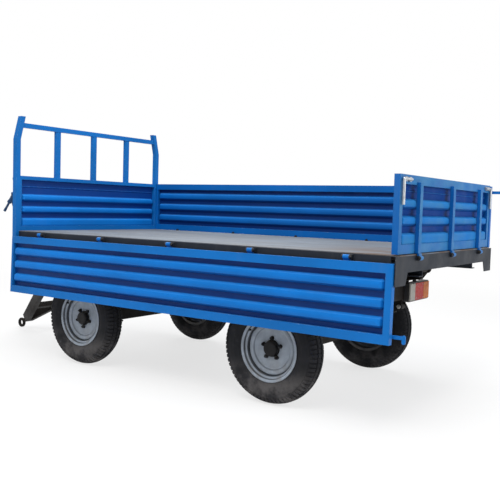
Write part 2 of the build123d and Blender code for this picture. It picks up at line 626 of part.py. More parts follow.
def build_chassis():
    outer = RAIL_INNER + RAIL_WIDTH
    rail = channel(RAIL_REAR, RAIL_FRONT, RAIL_INNER, outer, RAIL_BOTTOM, RAIL_TOP, RAIL_WALL)
    save("chassis_rails", both(rail))
    low = RAIL_BOTTOM
    members = [RAIL_REAR + MEMBER_WIDTH, RAM_X - CRADLE_HALF - MEMBER_WIDTH / 2,
               RAM_X + CRADLE_HALF + MEMBER_WIDTH / 2, FRONT_AXLE_X - RING_SUPPORT,
               FRONT_AXLE_X + RING_SUPPORT, RAIL_FRONT - MEMBER_WIDTH / 2]
    high = low + MEMBER_HEIGHT
    save("chassis_cross_members", [cross_channel(x, MEMBER_WIDTH, RAIL_INNER, low, high, SECTION_WALL)
                                   for x in members])
    pads = [block(x - REST_PAD_LENGTH / 2, x + REST_PAD_LENGTH / 2, RAIL_INNER, outer, RAIL_TOP,
                  SILL_BOTTOM - REST_GAP) for x in (REAR_AXLE_X, 0, FRONT_AXLE_X)]
    save("bed_rest_pads", [piece for pad in pads for piece in both(pad)])
    shaft = across(TIP_X, TIP_Z, TIP_SHAFT_RADIUS, -outer, outer)
    for cheeks in both(tip_cheeks()):
        shaft += cheeks
    save("tip_shaft", [shaft])
    ring_top = RAIL_BOTTOM
    upper = ring(RING_INNER, RING_OUTER, ring_top - RING_PLATE, ring_top)
    upper += ring(RING_OUTER - RING_LIP, RING_OUTER, BOGIE_TOP + RING_CLEARANCE, ring_top)
    save("turntable_upper_ring", [upper])
    save("ram_cradle", both(cradle_plate()))
    bar, housing, lenses = rear_lamps()
    save("rear_lamp_bar", [bar])
    save("lamp_housings", both(housing))
    for name, lens in lenses.items():
        save(f"lamp_lenses_{name}", both(lens))
    save("rear_spring_hangers", spring_hangers(REAR_AXLE_X, REAR_SPRING_Y, RAIL_BOTTOM))
    build_suspension("rear", REAR_AXLE_X, REAR_SPRING_Y)


def ring(inner, outer, z0, z1):
    face = Plane(origin=(FRONT_AXLE_X, 0, z0)) * (Circle(outer) - Circle(inner))
    return extrude(face, z1 - z0)


def tip_cheeks():
    """End plate of a rail with the two cheeks that hold the tipping shaft."""
    middle = RAIL_INNER + RAIL_WIDTH / 2
    inner = TIP_LUG / 2 + TIP_SIDE_PLAY
    radius = SILL_BOTTOM - TIP_Z - TIP_SIDE_PLAY
    cheeks = block(RAIL_REAR - TIP_CHEEK, RAIL_REAR, RAIL_INNER, RAIL_INNER + RAIL_WIDTH,
                   RAIL_BOTTOM, RAIL_TOP)
    for side in SIDES:
        y0, y1 = sorted((middle + side * inner, middle + side * (inner + TIP_CHEEK)))
        face = outline((RAIL_REAR - TIP_CHEEK, RAIL_BOTTOM), (RAIL_REAR - TIP_CHEEK, TIP_Z + radius),
                       (TIP_X, TIP_Z + radius), (TIP_X, TIP_Z - radius))
        cheeks += plate(face + Pos(TIP_X, TIP_Z) * Circle(radius), y0, y1)
    return cheeks


def cradle_plate():
    """Hanging plate between two cross members with the ram's trunnion bearing."""
    y0 = RAM_BARREL_RADIUS + CRADLE_PLAY
    eye = CRADLE_EYE_RADIUS
    high = RAIL_BOTTOM + MEMBER_HEIGHT
    face = outline((RAM_X - CRADLE_HALF, high), (RAM_X + CRADLE_HALF, high),
                   (RAM_X + CRADLE_HALF, RAIL_BOTTOM), (RAM_X + eye, RAM_FOOT_Z),
                   (RAM_X - eye, RAM_FOOT_Z), (RAM_X - CRADLE_HALF, RAIL_BOTTOM))
    solid = plate(face + Pos(RAM_X, RAM_FOOT_Z) * Circle(eye), y0, y0 + CRADLE_PLATE)
    bore = RAM_TRUNNION_RADIUS + RUNNING_FIT
    return solid - across(RAM_X, RAM_FOOT_Z, bore, y0 - CUT_PAST, y0 + CRADLE_PLATE + CUT_PAST)


def rear_lamps():
    """Cross bar hung from the rails; each lamp has an inner, a middle and an outer lens."""
    low, high = LAMP_CENTRE_Z - LAMP_BAR_HEIGHT / 2, LAMP_CENTRE_Z + LAMP_BAR_HEIGHT / 2
    front = LAMP_BACK + LAMP_BAR_DEPTH
    reach = LAMP_CENTRE_Y + LAMP_LENGTH / 4
    bar = block(LAMP_BACK, front, -reach, reach, low, high)
    past = reach + CUT_PAST
    bar -= block(LAMP_BACK + SECTION_WALL, front + CUT_PAST, -past, past,
                 low + SECTION_WALL, high - SECTION_WALL)
    for side in SIDES:
        ends = sorted((side * RAIL_INNER, side * (RAIL_INNER + RAIL_WIDTH)))
        bar += block(LAMP_BACK, LAMP_BACK + SECTION_WALL, *ends, high, RAIL_BOTTOM)
    y0, y1 = LAMP_CENTRE_Y - LAMP_LENGTH / 2, LAMP_CENTRE_Y + LAMP_LENGTH / 2
    z0, z1 = LAMP_CENTRE_Z - LAMP_HEIGHT / 2, LAMP_CENTRE_Z + LAMP_HEIGHT / 2
    rear = LAMP_BACK - LAMP_DEPTH
    case = fillet(block(rear, LAMP_BACK, y0, y1, z0, z1).edges().filter_by(Axis.X), LAMP_RIM)
    seat = (rear - CUT_PAST, rear + LENS_PROUD)
    housing = case - block(*seat, y0 + LAMP_RIM, y1 - LAMP_RIM, z0 + LAMP_RIM, z1 - LAMP_RIM)
    lenses = {}
    start = y0 + LAMP_RIM
    for name, width in LENSES:
        lens = block(rear - LENS_PROUD, rear + LENS_PROUD, start, start + width,
                     z0 + LAMP_RIM, z1 - LAMP_RIM)
        lenses[name] = fillet(lens.faces().sort_by(Axis.X)[0].edges(), LENS_ROUND)
        start += width
    return bar, housing, lenses


# Springs and axles

def leaf_spring():
    """Side view of a leaf pack on its seat: X along the spring, Y up from the top of the axle."""
    mean = (SPRING_HALF ** 2 + SPRING_CAMBER ** 2) / (2 * SPRING_CAMBER)
    centre = SPRING_PAD + LEAF * (LEAF_COUNT - 0.5) + mean

    def at(radius, angle):
        return radius * sin(angle), centre - radius * cos(angle)

    pack = Pos(0, SPRING_PAD / 2 + LEAF / 4) * Rectangle(AXLE_SIZE, SPRING_PAD + LEAF / 2)
    top = SPRING_PAD + LEAF * LEAF_COUNT
    pack += Pos(0, top) * Rectangle(AXLE_SIZE, 2 * SPRING_PAD)
    for number in range(LEAF_COUNT):
        inner = mean + (number - 0.5) * LEAF
        outer = inner + LEAF
        angle = asin(SPRING_HALF * (1 - number / (LEAF_COUNT + 1)) / mean)
        pack += make_face([
            ThreePointArc(at(inner, -angle), at(inner, 0), at(inner, angle)),
            Line(at(inner, angle), at(outer, angle)),
            ThreePointArc(at(outer, angle), at(outer, 0), at(outer, -angle)),
            Line(at(outer, -angle), at(inner, -angle))])
    angle = asin(SPRING_HALF / mean)
    eyes = [at(mean + LEAF / 2 - EYE_RADIUS, side * angle) for side in SIDES]
    for eye in eyes:
        pack += Pos(*eye) * Circle(EYE_RADIUS)
    for eye in eyes:
        pack -= Pos(*eye) * Circle(EYE_PIN_RADIUS)
    return pack, eyes, top + SPRING_PAD


def hanger(x, z, y, top):
    """Two cheeks below a frame, with the pin of a spring's eye."""
    inner = SPRING_WIDTH / 2 + HANGER_PLAY
    foot = EYE_PIN_RADIUS + HANGER_CHEEK
    face = outline((x - HANGER_WIDTH / 2, top), (x + HANGER_WIDTH / 2, top),
                   (x + foot, z), (x - foot, z))
    face += Pos(x, z) * Circle(foot)
    solid = block(x - HANGER_WIDTH / 2, x + HANGER_WIDTH / 2, y - inner - HANGER_CHEEK,
                  y + inner + HANGER_CHEEK, top - HANGER_CHEEK, top)
    for side in SIDES:
        solid += plate(face, *sorted((y + side * inner, y + side * (inner + HANGER_CHEEK))))
    return solid + across(x, z, EYE_PIN_RADIUS, y - inner, y + inner)


def spring_clamp(x, y, axle_bottom, spring_top):
    """Plates above the leaves and below the axle, drawn together by four rods."""
    reach_x = AXLE_SIZE / 2 + CLAMP_ROD_RADIUS
    reach_y = SPRING_WIDTH / 2 + CLAMP_ROD_RADIUS
    edge_x, edge_y = reach_x + 2 * CLAMP_ROD_RADIUS, reach_y + 2 * CLAMP_ROD_RADIUS
    low, high = axle_bottom - CLAMP_PLATE, spring_top + CLAMP_PLATE
    clamp = block(x - edge_x, x + edge_x, y - edge_y, y + edge_y, spring_top, high)
    clamp += block(x - edge_x, x + edge_x, y - edge_y, y + edge_y, low, axle_bottom)
    for side_x in SIDES:
        for side_y in SIDES:
            px, py = x + side_x * reach_x, y + side_y * reach_y
            clamp += rod((px, py, low - CLAMP_PLATE), (px, py, high + CLAMP_PLATE), CLAMP_ROD_RADIUS)
    return clamp


def axle(x):
    z, half = TYRE_RADIUS, AXLE_SIZE / 2
    beam = block(x - half, x + half, -AXLE_HALF, AXLE_HALF, z - half, z + half)
    spindle = TRACK / 2 + SPINDLE_END
    for side in SIDES:
        beam += across(x, z, AXLE_COLLAR_RADIUS, *sorted((side * AXLE_HALF, side * AXLE_COLLAR_END)))
        beam += across(x, z, SPINDLE_RADIUS, *sorted((side * AXLE_COLLAR_END, side * spindle)))
    return beam


def spring_hangers(x, y, hang_from):
    eyes = leaf_spring()[1]
    hangers = [hanger(x + eye[0], SPRING_SEAT + eye[1], y, hang_from) for eye in eyes]
    return [piece for solid in hangers for piece in both(solid)]


def build_suspension(name, x, y):
    pack, _, height = leaf_spring()
    spring = Pos(x, 0, SPRING_SEAT) * plate(pack, y - SPRING_WIDTH / 2, y + SPRING_WIDTH / 2)
    save(f"{name}_leaf_springs", both(spring))
    clamp = spring_clamp(x, y, SPRING_SEAT - AXLE_SIZE, SPRING_SEAT + height)
    save(f"{name}_spring_clamps", both(clamp))
    save(f"{name}_axle", [axle(x)])


# Steered bogie and drawbar

def build_bogie():
    low = BOGIE_LOW
    half = BOGIE_RAIL_WIDTH / 2
    frame = None
    for y in (FRONT_SPRING_Y, -FRONT_SPRING_Y):
        rail = block(BOGIE_REAR, BOGIE_FRONT, y - half, y + half, low, BOGIE_TOP)
        frame = rail if frame is None else frame + rail
    stations = (BOGIE_REAR + half, FRONT_AXLE_X - RING_SUPPORT, FRONT_AXLE_X + RING_SUPPORT,
                BOGIE_FRONT - half)
    for x in stations:
        frame += block(x - half, x + half, -FRONT_SPRING_Y, FRONT_SPRING_Y, low, BOGIE_TOP)
    inner = DRAW_ARM_WIDTH / 2 + DRAW_SIDE_PLAY
    outer = inner + DRAW_LUG
    for y in (FRONT_SPRING_Y, -FRONT_SPRING_Y):
        frame += block(BOGIE_FRONT, BOGIE_FRONT + DRAW_LUG, y - outer, y + outer, low, BOGIE_TOP)
        face = outline((BOGIE_FRONT, low), (BOGIE_FRONT, BOGIE_TOP),
                       (DRAW_HINGE_X, DRAW_HINGE_Z + DRAW_LUG_RADIUS),
                       (DRAW_HINGE_X, DRAW_HINGE_Z - DRAW_LUG_RADIUS))
        face += Pos(DRAW_HINGE_X, DRAW_HINGE_Z) * Circle(DRAW_LUG_RADIUS)
        for side in SIDES:
            frame += plate(face, *sorted((y + side * inner, y + side * outer)))
        frame += across(DRAW_HINGE_X, DRAW_HINGE_Z, DRAW_PIN_RADIUS, y - inner, y + inner)
    for piece in spring_hangers(FRONT_AXLE_X, FRONT_SPRING_Y, low):
        frame += piece
    save("bogie_frame", [frame])
    lower = ring(RING_INNER, RING_OUTER - RING_LIP - RUNNING_FIT, BOGIE_TOP, BOGIE_TOP + RING_PLATE)
    lower += ring(RING_INNER, RING_INNER + RING_LIP, BOGIE_TOP, RAIL_BOTTOM - RING_PLATE - RING_CLEARANCE)
    save("turntable_lower_ring", [lower])
    build_suspension("front", FRONT_AXLE_X, FRONT_SPRING_Y)


def build_drawbar():
    """Drawn flat along X from the hinge, then lowered until the eye lies on the ground."""
    run, drop = TOW_EYE_X - DRAW_HINGE_X, DRAW_HINGE_Z - TOW_EYE_OUTER
    length, slope = hypot(run, drop), degrees(atan2(drop, run))
    lay = Pos(DRAW_HINGE_X, 0, DRAW_HINGE_Z) * Rot(0, slope, 0)
    half, depth = DRAW_ARM_WIDTH / 2, DRAW_ARM_DEPTH / 2
    head = length - DRAW_HEAD
    inner, outer = FRONT_SPRING_Y - half, FRONT_SPRING_Y + half
    arm = outline((0, inner), (DRAW_STRAIGHT, inner), (head, -DRAW_HEAD_OVERLAP),
                  (head, DRAW_HEAD_HALF), (DRAW_STRAIGHT, outer), (0, outer))
    solid = extrude(Plane.XY * arm, depth, both=True)
    solid += across(0, 0, depth, inner, outer)
    solid -= across(0, 0, DRAW_PIN_RADIUS + RUNNING_FIT, 0, 2 * FRONT_SPRING_Y)
    frame = solid + mirror(solid, Plane.XZ)
    tie = length - DRAW_TIE_BACK
    share = (head - tie) / (head - DRAW_STRAIGHT)
    reach = FRONT_SPRING_Y * share
    frame += block(tie - DRAW_TIE / 2, tie + DRAW_TIE / 2, -reach, reach, -DRAW_TIE / 2, DRAW_TIE / 2)
    save("drawbar_frame", [lay * frame])
    section = Pos((TOW_EYE_OUTER + TOW_EYE_BORE) / 2, 0) * RectangleRounded(
        TOW_EYE_OUTER - TOW_EYE_BORE, TOW_EYE_WIDTH, TOW_EYE_ROUND)
    eye = revolve(section, Axis.Y)
    side = (TOW_EYE_WIDTH - TOW_EYE_ROUND) / 2
    shank = block(head - length, -TOW_EYE_BORE - TOW_EYE_ROUND, -side, side, -TOW_SHANK / 2, TOW_SHANK / 2)
    save("tow_eye", [lay * Pos(length, 0, 0) * (eye + shank)])


# Wheels, turned about Y with the outer side at +Y

def wheel_pieces():
    seat, bead, half = RIM_SEAT_RADIUS, RIM_HALF_WIDTH, TYRE_WIDTH / 2
    wall = (TYRE_RADIUS + seat) / 2
    shoulder = (TYRE_RADIUS - TYRE_CROWN, half - TYRE_SHOULDER)
    inner_edge = (RIM_FLANGE_RADIUS + RIM_WALL, bead)
    tyre = make_face([
        Line((seat, -bead), (seat, bead)), Line((seat, bead), inner_edge),
        ThreePointArc(inner_edge, (wall, half), shoulder),
        ThreePointArc(shoulder, (TYRE_RADIUS, 0), (shoulder[0], -shoulder[1])),
        ThreePointArc((shoulder[0], -shoulder[1]), (wall, -half), (inner_edge[0], -bead)),
        Line((inner_edge[0], -bead), (seat, -bead))])
    inside = seat - RIM_WALL
    edge = bead + RIM_WALL
    flange = RIM_FLANGE_RADIUS
    ledge = inside - RIM_STEP
    rim = outline((inside, -edge), (flange, -edge), (flange, -bead), (seat, -bead),
                  (seat, bead), (flange, bead), (flange, edge), (inside, edge), (inside, RIM_STEP_FACE),
                  (ledge, RIM_STEP_FACE), (ledge, 0), (inside, -RIM_STEP))
    steps = [(inside - inset, DISC_FACE + rise) for inset, rise in DISC_STEPS]
    profile = [(ledge, DISC_FACE), *steps, (HUB_CAP_RADIUS + DISC, DISC_FACE)]
    back = [(r, y - DISC) for r, y in reversed(profile)]
    rim += make_face(Polyline(*profile, *back, close=True))
    seat_y = DISC_FACE - DISC
    flange_back = seat_y - HUB_FLANGE
    bore, bore_end = SPINDLE_RADIUS + RUNNING_FIT, SPINDLE_END + HUB_CLEARANCE
    hub = outline((0, HUB_CAP_END), (HUB_CAP_RADIUS - HUB_CAP_BEVEL, HUB_CAP_END),
                  (HUB_CAP_RADIUS, HUB_CAP_END - HUB_CAP_BEVEL), (HUB_CAP_RADIUS, seat_y),
                  (HUB_FLANGE_RADIUS, seat_y), (HUB_FLANGE_RADIUS, flange_back), (HUB_RADIUS, flange_back),
                  (HUB_RADIUS, HUB_BACK), (bore, HUB_BACK), (bore, bore_end), (0, bore_end))
    return {"tyre": revolve(tyre, Axis.Y), "rim": revolve(rim, Axis.Y), "hub": revolve(hub, Axis.Y)}


def build_wheels():
    pieces = wheel_pieces()
    for end, x in (("front", FRONT_AXLE_X), ("rear", REAR_AXLE_X)):
        for name, side in (("left", 1), ("right", -1)):
            place = Pos(x, side * TRACK / 2, TYRE_RADIUS) * Rot(0, 0, 0 if side > 0 else 180)
            for piece, shape in pieces.items():
                save(f"wheel_{end}_{name}_{piece}", [place * shape])


# Tipping ram

def build_ram():
    place = Pos(RAM_X, 0, 0)
    radii = [*RAM_STAGE_RADII]

    def tube(radius, bore, low, high):
        shape = rod((0, 0, low), (0, 0, high), radius)
        return shape - rod((0, 0, low - CUT_PAST), (0, 0, high + CUT_PAST), bore) if bore else shape

    barrel = rod((0, 0, RAM_BARREL_LOW), (0, 0, RAM_BARREL_HIGH), RAM_BARREL_RADIUS)
    floor = RAM_BARREL_LOW + RAM_STAGE_STEP
    barrel -= rod((0, 0, floor), (0, 0, RAM_BARREL_HIGH + CUT_PAST), radii[0] + RUNNING_FIT)
    reach = RAM_BARREL_RADIUS + CRADLE_PLAY + CRADLE_PLATE
    for side in SIDES:
        start = side * (radii[0] + RAM_BARREL_RADIUS) / 2
        barrel += across(0, RAM_FOOT_Z, RAM_TRUNNION_RADIUS, *sorted((start, side * reach)))
    save("ram_barrel", [place * barrel])
    for number, radius in enumerate(radii):
        low = floor + REST_GAP + number * RAM_STAGE_STEP
        last = number == len(radii) - 1
        high = RAM_HEAD_Z - RAM_NECK if last else RAM_BARREL_HIGH + (number + 1) * RAM_STAGE_STEP
        stage = tube(radius, 0 if last else radii[number + 1] + RUNNING_FIT, low, high)
        if last:
            half = RAM_EYE_WIDTH / 2
            stage += block(-RAM_NECK_HALF, RAM_NECK_HALF, -half, half, high, RAM_HEAD_Z)
            stage += across(0, RAM_HEAD_Z, RAM_EYE_RADIUS, -half, half)
            stage -= across(0, RAM_HEAD_Z, RAM_EYE_BORE, -RAM_EYE_WIDTH, RAM_EYE_WIDTH)
        save(f"ram_stage_{number + 1}", [place * stage])


os.makedirs("parts", exist_ok=True)
build_panels()
build_bed()
build_chassis()
build_bogie()
build_drawbar()
build_wheels()
build_ram()
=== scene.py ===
import json
import math
import random

import bmesh
import bpy
from mathutils import Matrix, Vector


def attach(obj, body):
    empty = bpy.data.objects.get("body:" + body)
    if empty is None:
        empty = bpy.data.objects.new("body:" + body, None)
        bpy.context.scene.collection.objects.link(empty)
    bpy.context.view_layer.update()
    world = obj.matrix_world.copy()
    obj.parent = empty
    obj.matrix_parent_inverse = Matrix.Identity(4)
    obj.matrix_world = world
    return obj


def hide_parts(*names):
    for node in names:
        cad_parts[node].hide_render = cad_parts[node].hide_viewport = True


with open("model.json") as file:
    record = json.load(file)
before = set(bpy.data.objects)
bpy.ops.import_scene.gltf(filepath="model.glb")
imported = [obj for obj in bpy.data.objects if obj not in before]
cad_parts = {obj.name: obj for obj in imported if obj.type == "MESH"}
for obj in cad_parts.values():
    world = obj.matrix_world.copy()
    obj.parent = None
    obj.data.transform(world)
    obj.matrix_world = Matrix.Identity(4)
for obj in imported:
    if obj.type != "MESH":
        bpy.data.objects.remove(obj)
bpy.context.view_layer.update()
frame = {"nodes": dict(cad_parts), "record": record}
NODES = frame["nodes"]
random.seed(7)

# Places shared with the part's source, in metres. SHIFT_X moves its X to the shared frame.
SHIFT_X = -0.5095
TYRE_RADIUS = 0.372
TRACK_HALF = 0.727
AXLES = {"front": 1.019 + SHIFT_X, "rear": -0.812 + SHIFT_X}
SIDES = {"left": 1, "right": -1}
HINGE_Y, HINGE_Z, TAIL_HINGE_X = 0.8885, 1.031, -1.757 + SHIFT_X
TAIL_SHIFT, TAIL_LIFT = -0.0385, 0.005    # tailgate's sheet from its hinge line, outward and up
FLOOR_TOP = 1.054
BED_FRONT, BED_REAR = 1.725 + SHIFT_X, -1.740 + SHIFT_X
LEAN = math.radians(1.8)                  # hanging left side, from the vertical


# ---------------------------------------------------------------- materials

class Tree:
    """Node tree of a material or a world, built socket by socket."""

    def __init__(self, owner, output):
        owner.use_nodes = True
        self.owner = owner
        self.tree = owner.node_tree
        self.tree.nodes.clear()
        self.out = self.node(output)

    def node(self, kind, inputs=None, **settings):
        made = self.tree.nodes.new(kind)
        for key, value in settings.items():
            setattr(made, key, value)
        for key, value in (inputs or {}).items():
            if isinstance(value, bpy.types.NodeSocket):
                self.tree.links.new(value, made.inputs[key])
            else:
                made.inputs[key].default_value = value
        return made

    def math(self, operation, a, b=0.0):
        return self.node("ShaderNodeMath", {0: a, 1: b}, operation=operation).outputs[0]

    def times(self, a, b):
        return self.math("MULTIPLY", a, b)

    def seen(self):
        """1 for what the camera sees, also by a mirror or through glass."""
        path = self.node("ShaderNodeLightPath").outputs
        bent = self.math("MAXIMUM", path["Is Glossy Ray"], path["Is Transmission Ray"])
        return self.math("MAXIMUM", path["Is Camera Ray"], bent)

    def show_mixed(self, share, first, second):
        shaders = {0: share, 1: first.outputs[0], 2: second.outputs[0]}
        mixed = self.node("ShaderNodeMixShader", shaders)
        self.tree.links.new(mixed.outputs[0], self.out.inputs[0])


class Graph(Tree):
    """Node tree of a material, with what the paints have in common."""

    def __init__(self, name):
        super().__init__(bpy.data.materials.new(name), "ShaderNodeOutputMaterial")
        self.where = self.node("ShaderNodeTexCoord").outputs["Object"]

    def noise(self, scale, detail=4.0, rough=0.55, stretch=(1, 1, 1)):
        mapped = self.node("ShaderNodeMapping", {"Vector": self.where, "Scale": stretch})
        made = self.node("ShaderNodeTexNoise", {"Vector": mapped.outputs[0], "Scale": scale,
                                                "Detail": detail, "Roughness": rough})
        return made.outputs["Fac"]

    def ramp(self, value, low, high, start=0.0, end=1.0):
        spans = {"Value": value, "From Min": low, "From Max": high, "To Min": start, "To Max": end}
        return self.node("ShaderNodeMapRange", spans, interpolation_type="SMOOTHSTEP").outputs[0]

    def mix(self, share, a, b):
        made = self.node("ShaderNodeMix", {0: share, 6: a, 7: b}, data_type="RGBA")
        return made.outputs[2]

    def axis(self, index, where=None):
        return self.node("ShaderNodeSeparateXYZ", {0: where or self.where}).outputs[index]

    def vector(self, operation, inputs, output):
        return self.node("ShaderNodeVectorMath", inputs, operation=operation).outputs[output]

    def soft_edges(self, radius):
        return self.node("ShaderNodeBevel", {"Radius": radius}, samples=4).outputs[0]

    def edges(self, radius):
        """1 along sharp edges, 0 on flat faces."""
        soft = self.soft_edges(radius)
        true = self.node("ShaderNodeNewGeometry").outputs["True Normal"]
        return self.ramp(self.vector("DOT_PRODUCT", {0: soft, 1: true}, "Value"), 0.99, 0.86)

    def facing_up(self):
        normal = self.node("ShaderNodeNewGeometry").outputs["Normal"]
        return self.ramp(self.axis(2, normal), 0.35, 0.95)

    def bump(self, height, strength, distance, normal=None):
        inputs = {"Height": height, "Strength": strength, "Distance": distance}
        if normal is not None:
            inputs["Normal"] = normal
        return self.node("ShaderNodeBump", inputs).outputs[0]

    def surface(self, **inputs):
        names = {key.replace("_", " "): value for key, value in inputs.items()}
        shader = self.node("ShaderNodeBsdfPrincipled", names)
        self.tree.links.new(shader.outputs[0], self.out.inputs[0])
        return self.owner


def rgb(red, green, blue):
    return (red, green, blue, 1.0)


def shade(colour, share):
    return rgb(*(channel * share for channel in colour[:3]))


# Paints, and copies of the blue that carry painted shade, a painted sheen and a painted highlight
BLUE = rgb(0.0035, 0.162, 0.56)
# The blue with painted shade, for the right side, which stands in shade
SHADED = rgb(0.0030, 0.118, 0.43)
# Paler, hazier blue for the tailgate: faded paint with a painted sky sheen
FADED_AND_SHEEN = rgb(0.034, 0.185, 0.39)
FRAME_BLUE = rgb(0.0050, 0.138, 0.455)
# Painted highlight for the ribbed sheets' slopes that face up
SKYLIT = rgb(0.020, 0.235, 0.67)
# Painted shade for the ribbed sheets' grooves and down-facing slopes
GROOVE_SHADE = rgb(0.0032, 0.027, 0.145)
GROOVE_SHADE_DEEP = rgb(0.0030, 0.036, 0.205)
LATCH_BLUE = rgb(0.020, 0.056, 0.135)
DARK_GREY = rgb(0.024, 0.028, 0.036)
CHASSIS_BLACK = rgb(0.0088, 0.0074, 0.0067)
HUB_BLACK = rgb(0.010, 0.010, 0.011)
RIM_SILVER = rgb(0.285, 0.324, 0.376)
DECK_GREY = rgb(0.162, 0.186, 0.218)
# Bare materials
STEEL = rgb(0.35, 0.36, 0.38)
ZINC = rgb(0.44, 0.46, 0.48)
CHROME = rgb(0.36, 0.37, 0.39)
BOLT_GREY = rgb(0.40, 0.40, 0.39)
RUBBER = rgb(0.0118, 0.0122, 0.0145)
PLASTIC, PLASTIC_WORN = rgb(0.012, 0.012, 0.013), rgb(0.022, 0.022, 0.023)
LENS_CLEAR = rgb(0.46, 0.44, 0.39)
LENS_RED = rgb(0.50, 0.011, 0.008)
LENS_AMBER = rgb(0.62, 0.15, 0.006)
# Wear and dirt, and painted shade in the rims' creases and, with dirt, on their inner side
CHALK = rgb(0.34, 0.46, 0.60)
RUST = rgb(0.16, 0.07, 0.03)
DUST = rgb(0.33, 0.27, 0.20)
TYRE_DUST = rgb(0.158, 0.148, 0.146)
RIM_CREASE_SHADE = rgb(0.030, 0.030, 0.032)
RIM_INSIDE_DIRT_AND_SHADE = rgb(0.040, 0.037, 0.035)
RIM_MUD = rgb(0.16, 0.135, 0.11)
DECK_WARM = rgb(0.235, 0.205, 0.175)
DECK_SCRATCH = rgb(0.110, 0.105, 0.105)
DECK_BARE = rgb(0.40, 0.41, 0.42)
DECK_GOUGE = rgb(0.05, 0.045, 0.045)
DECK_TAIL = rgb(0.135, 0.085, 0.055)
DECK_EDGE = rgb(0.13, 0.12, 0.115)

GRAIN = 0.0006         # depth of orange peel and other fine grain
FOOT_BLEND = 0.012     # height over which a groove's painted shade begins above its foot
PRISM_RATE = 420.0     # lens prisms, radians per metre
# Radius, half width and strength of the painted shade lines in a rim's creases
RIM_CREASE_SHADES = ((0.2012, 0.0030, 0.8), (0.1838, 0.0034, 0.8), (0.1440, 0.0040, 0.35),
             (0.1780, 0.0030, 0.8))


def painted(name, colour, rough, wear_colour, wear, dust, groove=None, edge=0.003, gloss=0.13,
            fade_and_sheen=None, fade_and_sheen_along=None):
    """Brushed or sprayed paint: uneven tone, dust on top, chips along edges, orange peel.

    A groove is (light, dark, foot, depth): above the foot, painted shade darkens the paint to
    the depth's colour from Y light to Y dark and on slopes that face down, and a painted
    highlight lightens slopes that face up. Fading, in patches, comes with a painted sheen and
    may keep to faces along one axis, the other faces keeping the base colour as painted shade.
    """
    graph = Graph(name)
    tone = graph.noise(1.3, 3.0)
    speck = graph.noise(55.0, 2.0)
    now = graph.mix(graph.ramp(tone, 0.3, 0.7), shade(colour, 0.86), shade(colour, 1.10))
    now = graph.mix(graph.ramp(speck, 0.58, 0.75, 0.0, 0.25), now, shade(colour, 0.7))
    # Fading with a painted sheen, in patches; along an axis it keeps to faces along it, the others
    # staying darker as painted shade
    if fade_and_sheen:
        fade_and_sheen_share = graph.ramp(graph.noise(3.2, 6.0, 0.62, (1.0, 1.0, 2.2)), 0.28, 0.72, 0.25, 0.95)
        if fade_and_sheen_along is not None:
            along = graph.axis(fade_and_sheen_along, graph.node("ShaderNodeTexCoord").outputs["Normal"])
            along = graph.ramp(graph.math("ABSOLUTE", along), 0.3, 0.7, 0.1, 1.0)
            fade_and_sheen_share = graph.times(fade_and_sheen_share, along)
        now = graph.mix(fade_and_sheen_share, now, fade_and_sheen)
    if groove:
        light, dark, foot, depth = groove
        slope = graph.axis(2, graph.node("ShaderNodeNewGeometry").outputs["Normal"])
        # Painted highlight: slopes that face up lighten towards a sky-lit blue
        now = graph.mix(graph.ramp(slope, 0.02, 0.45, 0.0, 0.30), now, SKYLIT)
        above = graph.ramp(graph.axis(2), foot, foot + FOOT_BLEND)
        # Painted shade: slopes that face down darken to the depth's colour
        painted_under_shade = graph.times(graph.ramp(slope, 0.06, -0.62, 0.0, 0.60), above)
        now = graph.mix(painted_under_shade, now, depth)
        # Painted shade: the groove floor darkens with its depth in Y
        painted_groove_shade = graph.times(graph.ramp(graph.axis(1), light, dark, 0.0, 0.94), above)
        now = graph.mix(painted_groove_shade, now, depth)
    streak = graph.noise(9.0, 5.0, 0.6, (1.0, 1.0, 0.12))
    grime = graph.times(graph.ramp(streak, 0.52, 0.78), graph.ramp(tone, 0.35, 0.75))
    now = graph.mix(graph.times(grime, dust * 0.6), now, DUST)
    settled = graph.times(graph.facing_up(), graph.ramp(graph.noise(14.0, 6.0), 0.3, 0.7))
    now = graph.mix(graph.times(settled, dust), now, DUST)
    flaked = graph.ramp(graph.noise(38.0, 6.0, 0.7), 0.50, 0.68)
    chips = graph.times(graph.edges(edge * 1.5), flaked)
    now = graph.mix(graph.times(chips, wear), now, wear_colour)
    matt = graph.ramp(graph.noise(7.0, 5.0), 0.3, 0.7, rough - 0.07, rough + 0.12)
    matt = graph.math("ADD", matt, graph.times(settled, 0.25))
    normal = graph.bump(graph.noise(260.0, 2.0), 0.06, GRAIN, graph.soft_edges(edge))
    return graph.surface(Base_Color=now, Roughness=matt, Normal=normal, Specular_IOR_Level=gloss)


